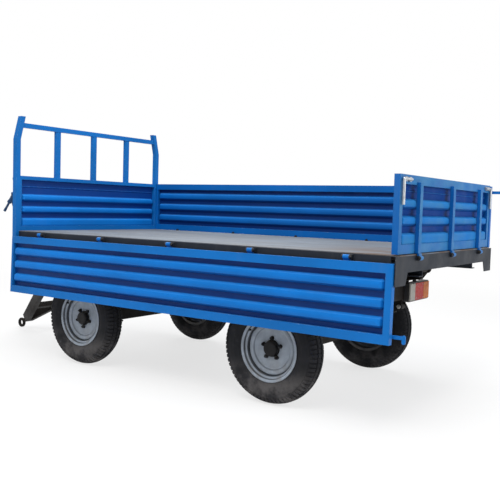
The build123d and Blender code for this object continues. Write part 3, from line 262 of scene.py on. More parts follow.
def rim_paint():
    """Silver paint with painted shade lines where the rings of the rim and its disc meet, and dirt
    with painted shade on its inside.
    """
    graph = Graph("rim_silver")
    flat = graph.vector("MULTIPLY", {0: graph.where, 1: (1.0, 0.0, 1.0)}, 0)
    radius = graph.vector("LENGTH", {0: flat}, "Value")
    tone = graph.noise(11.0, 5.0, 0.6)
    now = graph.mix(graph.ramp(tone, 0.3, 0.7), shade(RIM_SILVER, 0.80), shade(RIM_SILVER, 1.12))
    # Painted shade in the creases where the rings meet
    for ring, half, strength in RIM_CREASE_SHADES:
        gap = graph.math("ABSOLUTE", graph.math("SUBTRACT", radius, ring))
        now = graph.mix(graph.ramp(gap, half, half * 0.3, 0.0, strength), now, RIM_CREASE_SHADE)
    # Dirt and painted shade on the rim's inner side
    inside = graph.ramp(graph.axis(1), 0.004, -0.030)
    now = graph.mix(graph.times(inside, graph.ramp(tone, 0.25, 0.6, 0.7, 0.92)), now, RIM_INSIDE_DIRT_AND_SHADE)
    splashed = graph.ramp(graph.noise(16.0, 6.0), 0.42, 0.7)
    mud = graph.times(graph.ramp(graph.axis(2), 0.02, -0.20), splashed)
    now = graph.mix(graph.times(mud, 0.45), now, RIM_MUD)
    flaked = graph.ramp(graph.noise(50.0, 5.0, 0.7), 0.52, 0.7)
    chips = graph.times(graph.edges(0.003), flaked)
    now = graph.mix(graph.times(chips, 0.5), now, RUST)
    normal = graph.bump(graph.noise(240.0, 2.0), 0.06, GRAIN, graph.soft_edges(0.002))
    matt = graph.ramp(tone, 0.3, 0.7, 0.38, 0.55)
    return graph.surface(Base_Color=now, Roughness=matt, Normal=normal, Specular_IOR_Level=0.25)


def metal(name, colour, rough, grain):
    """Bare metal with a brushed grain, stretched along an axis, and darker blotches."""
    graph = Graph(name)
    brushed = graph.noise(70.0, 4.0, 0.6, grain)
    blotch = graph.noise(18.0, 5.0, 0.6)
    now = graph.mix(graph.ramp(brushed, 0.3, 0.7), shade(colour, 0.8), shade(colour, 1.1))
    now = graph.mix(graph.ramp(blotch, 0.6, 0.8, 0.0, 0.35), now, shade(colour, 0.45))
    normal = graph.bump(brushed, 0.12, GRAIN, graph.soft_edges(0.0015))
    matt = graph.ramp(brushed, 0.2, 0.8, rough - 0.06, rough + 0.1)
    return graph.surface(Base_Color=now, Roughness=matt, Metallic=1.0, Normal=normal)


def floor_plate():
    """Grey deck paint with lengthwise scratches, brown dirt at the tail and along the edges."""
    graph = Graph("deck_paint")
    tone = graph.noise(1.6, 4.0, 0.6, (0.5, 1.6, 1))
    warm = graph.noise(2.3, 5.0, 0.6, (0.35, 1.2, 1))
    scratch = graph.noise(26.0, 5.0, 0.65, (0.05, 1.0, 1.0))
    fine = graph.noise(120.0, 4.0, 0.6, (0.03, 1.0, 1.0))
    now = graph.mix(graph.ramp(tone, 0.3, 0.72), shade(DECK_GREY, 0.80), shade(DECK_GREY, 1.25))
    now = graph.mix(graph.ramp(warm, 0.45, 0.75, 0.0, 0.40), now, DECK_WARM)
    now = graph.mix(graph.ramp(scratch, 0.53, 0.70, 0.0, 0.75), now, DECK_SCRATCH)
    now = graph.mix(graph.ramp(fine, 0.60, 0.74, 0.0, 0.55), now, DECK_BARE)
    turned = graph.node("ShaderNodeMapping", {"Vector": graph.where, "Scale": (0.35, 1.0, 1.0),
                                              "Rotation": (0, 0, 0.5)}).outputs[0]
    swirl = graph.node("ShaderNodeTexWave", {"Vector": turned, "Scale": 1.1, "Distortion": 9.0,
                                             "Detail": 2.0, "Detail Scale": 1.4}).outputs["Fac"]
    gouge = graph.times(graph.ramp(swirl, 0.985, 0.998), graph.ramp(warm, 0.42, 0.55))
    now = graph.mix(graph.times(gouge, 0.22), now, DECK_GOUGE)
    tail = graph.ramp(graph.axis(0), BED_REAR + 0.95, BED_REAR + 0.02)
    dirt = graph.ramp(graph.noise(4.0, 6.0, 0.65, (0.35, 1, 1)), 0.36, 0.60)
    now = graph.mix(graph.times(graph.times(tail, dirt), 0.85), now, DECK_TAIL)
    side = graph.ramp(graph.math("ABSOLUTE", graph.axis(1)), 0.80, 0.85)
    now = graph.mix(graph.times(side, 0.35), now, DECK_EDGE)
    normal = graph.bump(graph.math("ADD", scratch, fine), 0.18, 0.0012)
    matt = graph.ramp(tone, 0.3, 0.7, 0.60, 0.82)
    return graph.surface(Base_Color=now, Roughness=matt, Normal=normal, Specular_IOR_Level=0.04)


def rubber(name, dusty):
    """Black rubber, for tyres with road dust on the lower half."""
    graph = Graph(name)
    grain = graph.noise(160.0, 3.0)
    blot = graph.noise(6.0, 6.0, 0.62)
    now = graph.mix(graph.ramp(blot, 0.35, 0.7), shade(RUBBER, 0.75), shade(RUBBER, 1.5))
    if dusty:
        low = graph.ramp(graph.axis(2), -0.06, -0.27)
        dust = graph.times(low, graph.ramp(graph.noise(9.0, 6.0, 0.65), 0.34, 0.66))
        everywhere = graph.ramp(graph.noise(13.0, 6.0, 0.6), 0.52, 0.80, 0.0, 0.3)
        dust = graph.math("MAXIMUM", dust, everywhere)
        now = graph.mix(graph.times(dust, 0.55), now, TYRE_DUST)
    normal = graph.bump(grain, 0.2, 0.0008)
    matt = graph.ramp(blot, 0.3, 0.7, 0.62, 0.85)
    return graph.surface(Base_Color=now, Roughness=matt, Normal=normal, Specular_IOR_Level=0.16)


def lens(name, colour):
    """Moulded lamp lens with small square prisms."""
    graph = Graph(name)
    waves = [graph.math("ABSOLUTE", graph.math("SINE", graph.times(graph.axis(index), PRISM_RATE)))
             for index in (1, 2)]
    prism = graph.times(*waves)
    now = graph.mix(graph.ramp(prism, 0.0, 0.7), shade(colour, 0.45), colour)
    smear = graph.noise(22.0, 5.0)
    now = graph.mix(graph.ramp(smear, 0.5, 0.8, 0.0, 0.12), now, shade(DUST, 0.5))
    normal = graph.bump(prism, 0.4, 0.002, graph.soft_edges(0.002))
    matt = graph.ramp(smear, 0.3, 0.7, 0.14, 0.34)
    return graph.surface(Base_Color=now, Roughness=matt, Normal=normal, Specular_IOR_Level=0.10)


def moulded_black():
    graph = Graph("lamp_black")
    grain = graph.noise(220.0, 3.0)
    now = graph.mix(graph.noise(5.0), PLASTIC, PLASTIC_WORN)
    normal = graph.bump(grain, 0.2, GRAIN, graph.soft_edges(0.002))
    return graph.surface(Base_Color=now, Roughness=0.5, Normal=normal)


blue = painted("blue_enamel", FRAME_BLUE, 0.38, CHALK, 0.55, 0.10)
# Tailgate frame: a darker base as painted shade on its side faces, fading with a painted sheen on
# its faces along X
blue_faded_sheen = painted("blue_enamel_faded_sheen", shade(SHADED, 0.88), 0.45, CHALK, 0.55, 0.16,
                     fade_and_sheen=FADED_AND_SHEEN, fade_and_sheen_along=0)
# Painted shade: a darker copy of the blue for the right side's frame
blue_shaded = painted("blue_enamel_painted_shade", SHADED, 0.40, CHALK, 0.55, 0.08)
latch_paint = painted("latch_paint", LATCH_BLUE, 0.48, STEEL, 0.6, 0.16)
dark_grey = painted("dark_grey_satin", DARK_GREY, 0.52, STEEL, 0.45, 0.12)
chassis_black = painted("chassis_black", CHASSIS_BLACK, 0.58, RUST, 0.6, 0.10, gloss=0.12)
hub_black = painted("hub_black", HUB_BLACK, 0.45, STEEL, 0.35, 0.2, gloss=0.15)
silver = rim_paint()
galvanized = metal("galvanized_steel", ZINC, 0.40, (1, 1, 1))
chrome = metal("ram_chrome", CHROME, 0.20, (1, 1, 0.05))
bolt_steel = metal("zinc_bolts", BOLT_GREY, 0.42, (1, 1, 1))
tyre_black = rubber("tyre_rubber", True)
pad_black = rubber("pad_rubber", False)

SLOT_MATERIALS = {"blue_paint": blue, "floor_paint": floor_plate(), "dark_grey_paint": dark_grey,
                  "chassis_paint": chassis_black, "rim_paint": silver, "tyre_rubber": tyre_black,
                  "hub_metal": hub_black, "bright_steel": galvanized, "ram_steel": chrome,
                  "pad_rubber": pad_black, "lamp_black": moulded_black(),
                  "lens_white": lens("lens_clear", LENS_CLEAR),
                  "lens_red": lens("lens_red", LENS_RED),
                  "lens_amber": lens("lens_amber", LENS_AMBER)}
# The tailgate's frame has fading with a painted sheen; the right side's frame has the blue with
# painted shade
NODE_MATERIALS = {"tailgate_frame": blue_faded_sheen, "tailgate_stiffeners": blue_faded_sheen,
                  "side_right_frame": blue_shaded}
for row in frame["record"]["subparts"]:
    data = NODES[row["node"]].data
    data.materials.clear()
    data.materials.append(NODE_MATERIALS.get(row["node"], SLOT_MATERIALS[row["material_slot"]]))


# ---------------------------------------------------------------- mesh helpers

# Angles in degrees past which an edge stays sharp
FITTING_SHARP, WHEEL_SHARP, SHEET_SHARP = 35, 38, 60
WASHER_HEIGHT, WASHER_CHAMFER = 0.0022, 0.0006
# Shares of a bolt's head height or width across flats
HEAD_CHAMFER, STUD_RADIUS, STUD_CHAMFER = 0.15, 0.27, 0.06
# Shares of a rod's or a weld bead's radius
ROD_CHAMFER, WELD_STEP, WELD_SPREAD = 0.2, 1.1, (0.85, 1.1)


def mesh_from(work, name):
    mesh = bpy.data.meshes.new(name)
    bmesh.ops.recalc_face_normals(work, faces=work.faces)
    work.to_mesh(mesh)
    work.free()
    return mesh


def dress(mesh, materials, sharp):
    for material in materials:
        mesh.materials.append(material)
    mesh.shade_smooth()
    mesh.set_sharp_from_angle(angle=math.radians(sharp))


def add_object(name, data):
    made = bpy.data.objects.new(name, data)
    bpy.context.scene.collection.objects.link(made)
    return made


def piece(name, work, material, body):
    """Fitting that rides on a body, from a working mesh in the shared frame."""
    mesh = mesh_from(work, name)
    dress(mesh, [material], FITTING_SHARP)
    made = add_object(name, mesh)
    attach(made, body)


def place(origin, direction):
    """Matrix whose Z axis runs along a direction from an origin."""
    turn = Vector(direction).to_track_quat("Z", "Y").to_matrix().to_4x4()
    return Matrix.Translation(origin) @ turn


def add_prism(work, sides, radius, height, matrix, bevel):
    """Upright prism from z 0 to height, its top edge chamfered, placed by a matrix."""
    rings = []
    for reach, z in ((radius, 0.0), (radius, height - bevel), (radius - bevel, height)):
        angles = [2 * math.pi * k / sides for k in range(sides)]
        rings.append([work.verts.new(matrix @ Vector((reach * math.cos(angle),
                                                      reach * math.sin(angle), z)))
                      for angle in angles])
    for low, high in zip(rings, rings[1:]):
        for k in range(sides):
            work.faces.new((low[k], low[(k + 1) % sides], high[(k + 1) % sides], high[k]))
    work.faces.new(rings[-1])
    work.faces.new(list(reversed(rings[0])))


def add_disc(work, disc, origin, direction):
    """Round disc, given as (sides, radius, height, chamfer), standing on a face."""
    sides, radius, height, chamfer = disc
    add_prism(work, sides, radius, height, place(origin, direction), chamfer)


def add_bolt(work, origin, direction, across, head, washer=None, stud=0.0):
    """Hexagon head on a washer, with the end of its thread."""
    base = place(origin, direction)
    rise = 0.0
    if washer:
        add_prism(work, 20, washer, WASHER_HEIGHT, base, WASHER_CHAMFER)
        rise = WASHER_HEIGHT
    lifted = base @ Matrix.Translation((0, 0, rise))
    add_prism(work, 6, across / 2 / math.cos(math.pi / 6), head, lifted, head * HEAD_CHAMFER)
    if stud:
        lifted = base @ Matrix.Translation((0, 0, rise + head))
        add_prism(work, 12, across * STUD_RADIUS, stud, lifted, across * STUD_CHAMFER)


def add_block(work, centre, size, bevel):
    """Box with chamfered edges."""
    matrix = Matrix.Translation(centre) @ Matrix.Diagonal((*size, 1.0))
    made = bmesh.ops.create_cube(work, size=1.0, matrix=matrix)
    edges = list(dict.fromkeys(edge for vert in made["verts"] for edge in vert.link_edges))
    bmesh.ops.bevel(work, geom=edges, offset=bevel, segments=2, affect="EDGES", profile=0.6)


def add_rod(work, start, end, radius, sides=16):
    run = Vector(end) - Vector(start)
    add_prism(work, sides, radius, run.length, place(start, run), radius * ROD_CHAMFER)


def add_weld(work, start, end, radius):
    """Rippled weld bead along a line."""
    start, end = Vector(start), Vector(end)
    count = max(2, int((end - start).length / (radius * WELD_STEP)))
    for step in range(count + 1):
        spot = Matrix.Translation(start.lerp(end, step / count))
        size = radius * random.uniform(*WELD_SPREAD)
        bmesh.ops.create_icosphere(work, subdivisions=1, radius=size, matrix=spot)


# ---------------------------------------------------------------- wheels

# A wheel's own frame: Y outward along the axle, profiles as (radius, y).
TREAD_DEPTH, TREAD_COUNT = 0.009, 72
CROWN_DROP, CROWN_HALF = 0.020, 0.062    # fall of the tread's surface at this Y
BLOCK_FOOT, BLOCK_WALL, BLOCK_TOP, BLOCK_EDGE = 1.06, 0.97, 0.90, 0.0012    # shares, a drop
TYRE_SEGMENTS, RIM_SEGMENTS, CAP_SEGMENTS = 144, 96, 48
CARCASS_Y = (0.0, 0.012, 0.024, 0.036, 0.047, 0.056, 0.062)
SIDE_WALL = [(0.3330, 0.0690), (0.3240, 0.0745), (0.3220, 0.0765), (0.3170, 0.0780),
             (0.3150, 0.0775), (0.3040, 0.0818), (0.2890, 0.0838), (0.2740, 0.0826),
             (0.2700, 0.0832), (0.2660, 0.0812), (0.2520, 0.0760), (0.2440, 0.0712),
             (0.2405, 0.0702), (0.2370, 0.0672), (0.2300, 0.0622), (0.2250, 0.0598),
             (0.2080, 0.0592)]
BEAD_SEAT = [(0.2062, 0.058), (0.2062, -0.058)]
# Corners of the tread's blocks as (share of the pitch, y), and of the lug's side with a radius
SHOULDER_LUG = ((0.12, 0.0655), (0.80, 0.0655), (0.88, 0.0400), (0.04, 0.0400))
ZIGZAG_RIB = ((-0.02, 0.0350), (0.45, 0.0305), (0.94, 0.0350),
              (0.94, 0.0090), (0.45, 0.0045), (-0.02, 0.0090))
LUG_SIDE = ((0.3480, 0.14, 0.0668), (0.3480, 0.76, 0.0668),
            (0.3270, 0.76, 0.0760), (0.3270, 0.14, 0.0760))
LUG_SINK, LUG_FOOT = 0.009, 0.004
RIM = [(0.2000, -0.0660), (0.2190, -0.0660), (0.2220, -0.0635), (0.2215, -0.0605),
       (0.2170, -0.0600), (0.2085, -0.0592), (0.2060, -0.0560), (0.2060, -0.028),
       (0.2035, -0.018), (0.2030, -0.006), (0.2030, 0.010), (0.2035, 0.020), (0.2060, 0.030),
       (0.2060, 0.0560), (0.2085, 0.0592), (0.2170, 0.0600), (0.2215, 0.0605), (0.2220, 0.0635),
       (0.2195, 0.0660), (0.2140, 0.0655), (0.2080, 0.0638), (0.2030, 0.0610), (0.2005, 0.0570),
       (0.2000, 0.0480), (0.1992, 0.0440), (0.1965, 0.0422), (0.1890, 0.0418), (0.1855, 0.0408),
       (0.1842, 0.0375), (0.1840, 0.020), (0.1840, 0.002), (0.1860, -0.004), (0.1985, -0.0150),
       (0.2000, -0.0200)]
DISC = [(0.1845, 0.0140), (0.1825, 0.0138), (0.1805, 0.0144), (0.1775, 0.0180), (0.1745, 0.0250),
        (0.1700, 0.0280), (0.1610, 0.0285), (0.1520, 0.0280), (0.1475, 0.0250), (0.1440, 0.0180),
        (0.1405, 0.0144), (0.1250, 0.0136), (0.1020, 0.0138), (0.0960, 0.0140), (0.0600, 0.0142),
        (0.0585, 0.0134), (0.0580, 0.0110)]
DISC_SHEET = 0.0078
CAP = [(0.0540, 0.0148), (0.0575, 0.0148), (0.0580, 0.0170), (0.0570, 0.0185), (0.0538, 0.0190),
       (0.0532, 0.0215), (0.0528, 0.0360), (0.0515, 0.0425), (0.0480, 0.0468), (0.0420, 0.0490),
       (0.0300, 0.0492), (0.0250, 0.0486), (0.0130, 0.0484), (0.0001, 0.0484), (0.0001, 0.0148)]
NUT_COUNT, NUT_CIRCLE, NUT_Y = 5, 0.070, 0.0136
NUT_COLLAR, NUT = (24, 0.0145, 0.0045, 0.0020), (0.022, 0.017, None, 0.008)
VALVE_RADIUS, VALVE_ANGLE, VALVE_Y = 0.1925, 0.6, 0.0414
VALVE = ((14, 0.0062, 0.006, 0.002), (12, 0.0040, 0.022, 0.001))
OUTWARD = (0, 1, 0)


def turned(radius, angle, y):
    """Point at a radius and an angle about the Y axis."""
    return (radius * math.cos(angle), y, radius * math.sin(angle))


def lathe(work, profile, segments):
    """Turn a closed profile about the Y axis."""
    rings = []
    for step in range(segments):
        angle = 2 * math.pi * step / segments
        rings.append([work.verts.new(turned(radius, angle, y)) for radius, y in profile])
    count = len(profile)
    for step in range(segments):
        here, there = rings[step], rings[(step + 1) % segments]
        for k in range(count):
            work.faces.new((here[k], here[(k + 1) % count], there[(k + 1) % count], there[k]))


def crown(y):
    """Radius of the tread's surface at a distance from the middle of the tyre."""
    return TYRE_RADIUS - CROWN_DROP * (y / CROWN_HALF) ** 2


def tread_block(work, corners, low):
    """Block with sloped walls standing on the carcass: corners are (angle, y) round its top."""
    middle = [sum(c[k] for c in corners) / len(corners) for k in range(2)]
    rings = []
    for share, drop in ((BLOCK_FOOT, low), (BLOCK_WALL, BLOCK_EDGE), (BLOCK_TOP, 0.0)):
        ring = []
        for angle, y in corners:
            angle = middle[0] + (angle - middle[0]) * share
            y = middle[1] + (y - middle[1]) * share
            ring.append(work.verts.new(turned(crown(y) - drop, angle, y)))
        rings.append(ring)
    count = len(corners)
    for lower, upper in zip(rings, rings[1:]):
        for k in range(count):
            work.faces.new((lower[k], lower[(k + 1) % count], upper[(k + 1) % count], upper[k]))
    work.faces.new(rings[-1])


def tyre_mesh():
    work = bmesh.new()
    half = [(crown(y) - TREAD_DEPTH, y) for y in CARCASS_Y] + SIDE_WALL
    inner_half = [(radius, -y) for radius, y in reversed(half)]
    lathe(work, inner_half + half[1:] + BEAD_SEAT, TYRE_SEGMENTS)
    pitch = 2 * math.pi / TREAD_COUNT
    for step in range(TREAD_COUNT):
        for side in (1, -1):
            offset = step * pitch + (0.5 * pitch if side > 0 else 0.0)
            for shape, low in ((SHOULDER_LUG, TREAD_DEPTH + LUG_FOOT), (ZIGZAG_RIB, TREAD_DEPTH)):
                tread_block(work, [(offset + share * pitch, side * y) for share, y in shape], low)
            top, low = ([work.verts.new(turned(radius, offset + share * pitch, side * (y - sink)))
                         for radius, share, y in LUG_SIDE] for sink in (0.0, LUG_SINK))
            work.faces.new(top)
            for k in range(4):
                work.faces.new((low[k], low[(k + 1) % 4], top[(k + 1) % 4], top[k]))
    return mesh_from(work, "tyre")


def rim_mesh():
    """Rolled rim with a ledge and a pressed disc: the part's profile, its corners rounded."""
    work = bmesh.new()
    lathe(work, RIM, RIM_SEGMENTS)
    back = [(radius, y - DISC_SHEET) for radius, y in reversed(DISC)]
    lathe(work, DISC + back, RIM_SEGMENTS)
    return mesh_from(work, "rim")


def nuts_mesh():
    """Wheel nuts with collars and studs."""
    work = bmesh.new()
    for step in range(NUT_COUNT):
        angle = 2 * math.pi * step / NUT_COUNT + math.pi / 2
        spot = Vector(turned(NUT_CIRCLE, angle, NUT_Y))
        add_disc(work, NUT_COLLAR, spot, OUTWARD)
        add_bolt(work, spot + Vector((0, NUT_COLLAR[2], 0)), OUTWARD, *NUT)
    return mesh_from(work, "nuts")


def valve_mesh():
    """Rubber valve on the rim's ledge."""
    work = bmesh.new()
    for disc in VALVE:
        add_disc(work, disc, turned(VALVE_RADIUS, VALVE_ANGLE, VALVE_Y), OUTWARD)
    return mesh_from(work, "valve")


def cap_mesh():
    """Stepped grease cap over the hub's end."""
    work = bmesh.new()
    lathe(work, CAP, CAP_SEGMENTS)
    return mesh_from(work, "cap")


def build_wheels():
    looks = {"tyre": (tyre_mesh(), tyre_black, "tyre_rubber"),
             "rim": (rim_mesh(), silver, "rim_paint"),
             "nuts": (nuts_mesh(), hub_black, "hub_metal"),
             "valve": (valve_mesh(), pad_black, "tyre_rubber"),
             "cap": (cap_mesh(), hub_black, "hub_metal")}
    for mesh, material, slot in looks.values():
        dress(mesh, [material], WHEEL_SHARP)
    for end, x in AXLES.items():
        for side, sign in SIDES.items():
            body = f"wheel_{end}_{side}"
            for part, (mesh, material, slot) in looks.items():
                made = add_object(f"{body}_{part}_detail", mesh)
                turn = Matrix.Rotation(0.0 if sign > 0 else math.pi, 4, "Z")
                if part == "nuts" and end == "front":
                    turn = turn @ Matrix.Rotation(math.pi / NUT_COUNT, 4, "Y")
                hub = Matrix.Translation((x, sign * TRACK_HALF, TYRE_RADIUS))
                made.matrix_world = hub @ turn
                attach(made, body)
                if part in ("tyre", "rim"):
                    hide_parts(f"{body}_{part}")


build_wheels()


# ---------------------------------------------------------------- ribbed sheets

# A panel's own frame: X along, Y outward, Z up from the hinge line.
PANEL = {"height": 0.469, "drop": 0.023, "inner": -0.0325, "outer": 0.0075, "rail": 0.056,
         "post": 0.042, "front": 0.022, "sheet": 0.003, "depth": 0.030, "groove": 0.030,
         "ridges": 3, "end": 0.004, "corner": 0.024, "slope": 0.0195, "end_ridge": 0.072,
         "end_foot": 0.002, "bead": 0.005}
INNER, OUTER = PANEL["inner"], PANEL["outer"]
SIDE_REAR, SIDE_FRONT, TAIL_HALF, HEAD_HALF = -1.730, 1.720, 0.851, 0.826
HEAD_LOW, HEAD_HIGH = FLOOR_TOP + 0.040, FLOOR_TOP + 0.435
SLOPE_SHARE, DOME_SHARE = 0.86, 0.14             # of a ridge's rise
SEAM_SHARE, SEAM_TOP, SEAM_BLEND = 0.12, 0.010, 0.008
BEAD_HALF, BEAD_BLEND = 0.006, 0.004
SHEET_ROWS, SHEET_COLUMNS = 170, 24
END_COLUMNS, END_STEP, END_BAND = 20, 0.003, 0.07    # closer columns at a sheet's ends
# Where a groove's painted shade starts and is darkest, from the sheet's ridge side
LIGHT, DARK, BACK_LIGHT, BACK_DARK = 0.0180, 0.0292, 0.0270, 0.0090
# Feet below which a sheet's grooves get no painted shade
HEAD_FOOT, TAIL_FOOT, NO_FOOT = FLOOR_TOP + 0.060, 0.100, -1.0


def smooth(value):
    value = max(0.0, min(1.0, value))
    return value * value * (3 - 2 * value)


def reach_inside(x, z, middle, half_x, half_z):
    """How far a point lies inside a rectangle with round corners."""
    corner = PANEL["corner"]
    dx = abs(x - middle[0]) - (half_x - corner)
    dz = abs(z - middle[1]) - (half_z - corner)
    return corner - math.hypot(max(dx, 0.0), max(dz, 0.0)) - min(max(dx, dz), 0.0)


def sheet_columns(x0, x1):
    near = [k * END_STEP for k in range(END_COLUMNS)]
    spread = [(x1 - x0) * k / SHEET_COLUMNS for k in range(SHEET_COLUMNS + 1)]
    ends = {round(x0 + d, 5) for d in near} | {round(x1 - d, 5) for d in near}
    return sorted(ends | {round(x0 + d, 5) for d in spread if END_BAND < d < x1 - x0 - END_BAND})


def ribbed_mesh(x0, x1, z0, z1, name, outward, banded):
    """Pressed sheet in a panel's frame, its ridges standing to the panel's face.

    A banded sheet has narrower ridges that leave a plain band with a bead above them, and its
    lowest ridge runs down to the rail with only a seam between.
    """
    towards = 1 if outward else -1
    base = OUTER - PANEL["depth"] if outward else INNER + PANEL["depth"]
    groove, count = PANEL["groove"], PANEL["ridges"]
    foot = PANEL["end_foot"] if banded else groove
    ridge = PANEL["end_ridge"] if banded else (z1 - z0 - (count + 1) * groove) / count
    middles = [z0 + foot + ridge / 2 + k * (groove + ridge) for k in range(count)]
    bead = (middles[-1] + ridge / 2 + z1) / 2
    half_x = (x1 - x0) / 2 - PANEL["end"]
    middle_x = (x0 + x1) / 2
    columns = sheet_columns(x0, x1)
    work = bmesh.new()
    sheets = []
    for layer in (0.0, PANEL["sheet"]):
        grid = []
        for row in range(SHEET_ROWS + 1):
            z = z0 + (z1 - z0) * row / SHEET_ROWS
            middle = min(middles, key=lambda m: abs(z - m))
            level = max(z, middle) if banded and middle == middles[0] else z
            seam = SEAM_SHARE * smooth((z0 + SEAM_TOP - z) / SEAM_BLEND) if banded else 0.0
            line = []
            for x in columns:
                inside = reach_inside(x, level, (middle_x, middle), half_x, ridge / 2)
                sloped = SLOPE_SHARE * smooth(inside / PANEL["slope"])
                domed = DOME_SHARE * smooth(2 * inside / ridge)
                rise = PANEL["depth"] * (sloped + domed - seam)
                if banded and abs(x - middle_x) < half_x:
                    rise += PANEL["bead"] * smooth((BEAD_HALF - abs(z - bead)) / BEAD_BLEND)
                line.append(work.verts.new((x, base + towards * (rise - layer), z)))
            grid.append(line)
        sheets.append(grid)
    last = len(columns) - 1
    for side, grid in enumerate(sheets):
        for low, high in zip(grid, grid[1:]):
            for k in range(last):
                face = work.faces.new((low[k], low[k + 1], high[k + 1], high[k]))
                face.material_index = side
    a, b = sheets
    for k in range(last):
        for row in (0, -1):
            work.faces.new((a[row][k], a[row][k + 1], b[row][k + 1], b[row][k]))
    for row in range(SHEET_ROWS):
        for k in (0, last):
            work.faces.new((a[row][k], a[row + 1][k], b[row + 1][k], b[row][k]))
    return mesh_from(work, name)


def panel_frame(kind):
    """Matrix from a panel's own frame to the shared frame, as the panel stands at rest."""
    if kind == "left":
        hang = Matrix.Rotation(-(math.pi - LEAN), 4, "X")
        return Matrix.Translation((SHIFT_X, HINGE_Y, HINGE_Z)) @ hang
    if kind == "right":
        mirror = Matrix.Scale(-1, 4, (0, 1, 0))
        return Matrix.Translation((SHIFT_X, -HINGE_Y, HINGE_Z)) @ mirror
    if kind == "head":
        turn = Matrix.Rotation(-math.pi / 2, 4, "Z")
        return Matrix.Translation((BED_FRONT - INNER, 0, 0)) @ turn
    turn = Matrix.Translation((TAIL_HINGE_X, 0, HINGE_Z)) @ Matrix.Rotation(math.pi / 2, 4, "Z")
    return turn @ Matrix.Translation((0, TAIL_SHIFT, TAIL_LIFT))


def ribbed_paint(name, light, dark, colour=BLUE, fade_and_sheen=None, foot=NO_FOOT, depth=GROOVE_SHADE, gloss=0.13):
    """Paint with a painted highlight on up-facing slopes and, above a foot, painted shade on
    down-facing slopes and from the ridges at Y light to the grooves at Y dark.
    """
    groove = (light, dark, foot, depth)
    return painted(name, colour, 0.40, CHALK, 0.3, 0.03, groove, 0.002, gloss, fade_and_sheen)


def sheet_paints(kind):
    """Paint of a sheet's ridged side and of its back."""
    # Every sheet's grooves get painted shade; the right sheet's darker blue is painted shade of
    # the far side, and the tail's fading carries a painted sheen
    looks = {"left": {}, "right": {"colour": SHADED},
             "head": {"foot": HEAD_FOOT, "depth": GROOVE_SHADE_DEEP},
             "tail": {"fade_and_sheen": FADED_AND_SHEEN, "foot": TAIL_FOOT, "depth": GROOVE_SHADE_DEEP, "gloss": 0.03}}
    face, into = (OUTER, -1) if kind == "tail" else (INNER, 1)
    name = f"blue_ribs_{kind}"
    return [ribbed_paint(name, face + into * LIGHT, face + into * DARK, **looks[kind]),
            ribbed_paint(f"{name}_back", face + into * BACK_LIGHT, face + into * BACK_DARK)]


def build_sheets():
    bottom = PANEL["drop"] + PANEL["rail"]
    top = PANEL["drop"] + PANEL["height"] - PANEL["rail"]
    post = PANEL["post"]
    side = (SIDE_REAR + post, SIDE_FRONT - PANEL["front"], bottom, top)
    spans = {"left": ("side_left", "side_left_sheet", side),
             "right": ("side_right", "side_right_sheet", side),
             "tail": ("tailgate", "tailgate_sheet",
                      (-TAIL_HALF + post, TAIL_HALF - post, bottom, top)),
             "head": ("bed", "headboard_sheet", (-HEAD_HALF, HEAD_HALF, HEAD_LOW, HEAD_HIGH))}
    for kind, (body, node, span) in spans.items():
        mesh = ribbed_mesh(*span, f"{node}_ribs", kind == "tail", kind in ("tail", "head"))
        dress(mesh, sheet_paints(kind), SHEET_SHARP)
        made = add_object(f"{node}_ribbed", mesh)
        made.matrix_world = panel_frame(kind)
        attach(made, body)
        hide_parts(node)


build_sheets()


# ---------------------------------------------------------------- fittings

# Discs are (sides, radius, height, chamfer), bolts (across flats, head, washer's radius, stud).
BOTH = (1, -1)
UP, DOWN, FORWARD, BACKWARD = (0, 0, 1), (0, 0, -1), (1, 0, 0), (-1, 0, 0)

SIDE_HINGES = [x + SHIFT_X for x in (-1.415, -0.710, -0.005, 0.700, 1.405)]
TAIL_HINGES = (-0.580, 0.0, 0.580)
HINGE_END = 0.029
PIN_DISCS = ((20, 0.0115, 0.0025, 0.0008), (16, 0.0080, 0.0065, 0.0015))
SPLIT_PIN_OUT, SPLIT_PIN_HALF, SPLIT_PIN_RADIUS = 0.0045, 0.0125, 0.0016

# Black domes on the right side's floor edge, standing in for hinge knuckles in shade
KNUCKLE_DOME_Y, KNUCKLE_DOME_RADIUS, KNUCKLE_DOME_HEIGHT, KNUCKLE_DOME_CHAMFER = -0.8350, 0.0140, 0.016, 0.016 * 0.15
KNUCKLE_DOME_STEPS = ((1.0, 0.45), (0.8, 0.8), (0.5, 1.0))    # shares of radius and height

SPRINGS = {"bogie": (AXLES["front"], 0.420), "chassis": (AXLES["rear"], 0.505)}
CLAMP_X, CLAMP_Y, CLAMP_LOW, CLAMP_TOP = 0.057, 0.037, 0.310, 0.500
CLAMP_NUT, CENTRE_BOLT = (0.022, 0.0095, 0.0125), (0.020, 0.008, 0.012, 0.004)
EYE_X, EYE_Y, EYE_Z = 0.3725, 0.039, 0.5744
EYE_BOLT, EYE_STUD = (0.026, 0.011, 0.017), 0.006

DRAW_X, DRAW_Z, DRAW_OUTSIDE, DRAW_INSIDE = 1.2105, 0.690, 0.465, 0.375
DRAW_HEADS = ((24, 0.0270, 0.004, 0.001), (24, 0.0215, 0.013, 0.003))
DRAW_ENDS = ((24, 0.0250, 0.004, 0.001), (20, 0.0148, 0.020, 0.002))
DRAW_PIN_IN, DRAW_PIN_HALF, DRAW_PIN_RADIUS = 0.012, 0.026, 0.0028
DRAW_RUN, DRAW_FALL, DRAW_SHANK = 1.061, 0.642, 0.110    # hinge to tow eye, and the eye's shank
SHANK_OUT, SHANK_Y, SHANK_Z, SHANK_WELD = 0.002, 0.010, 0.018, 0.0045

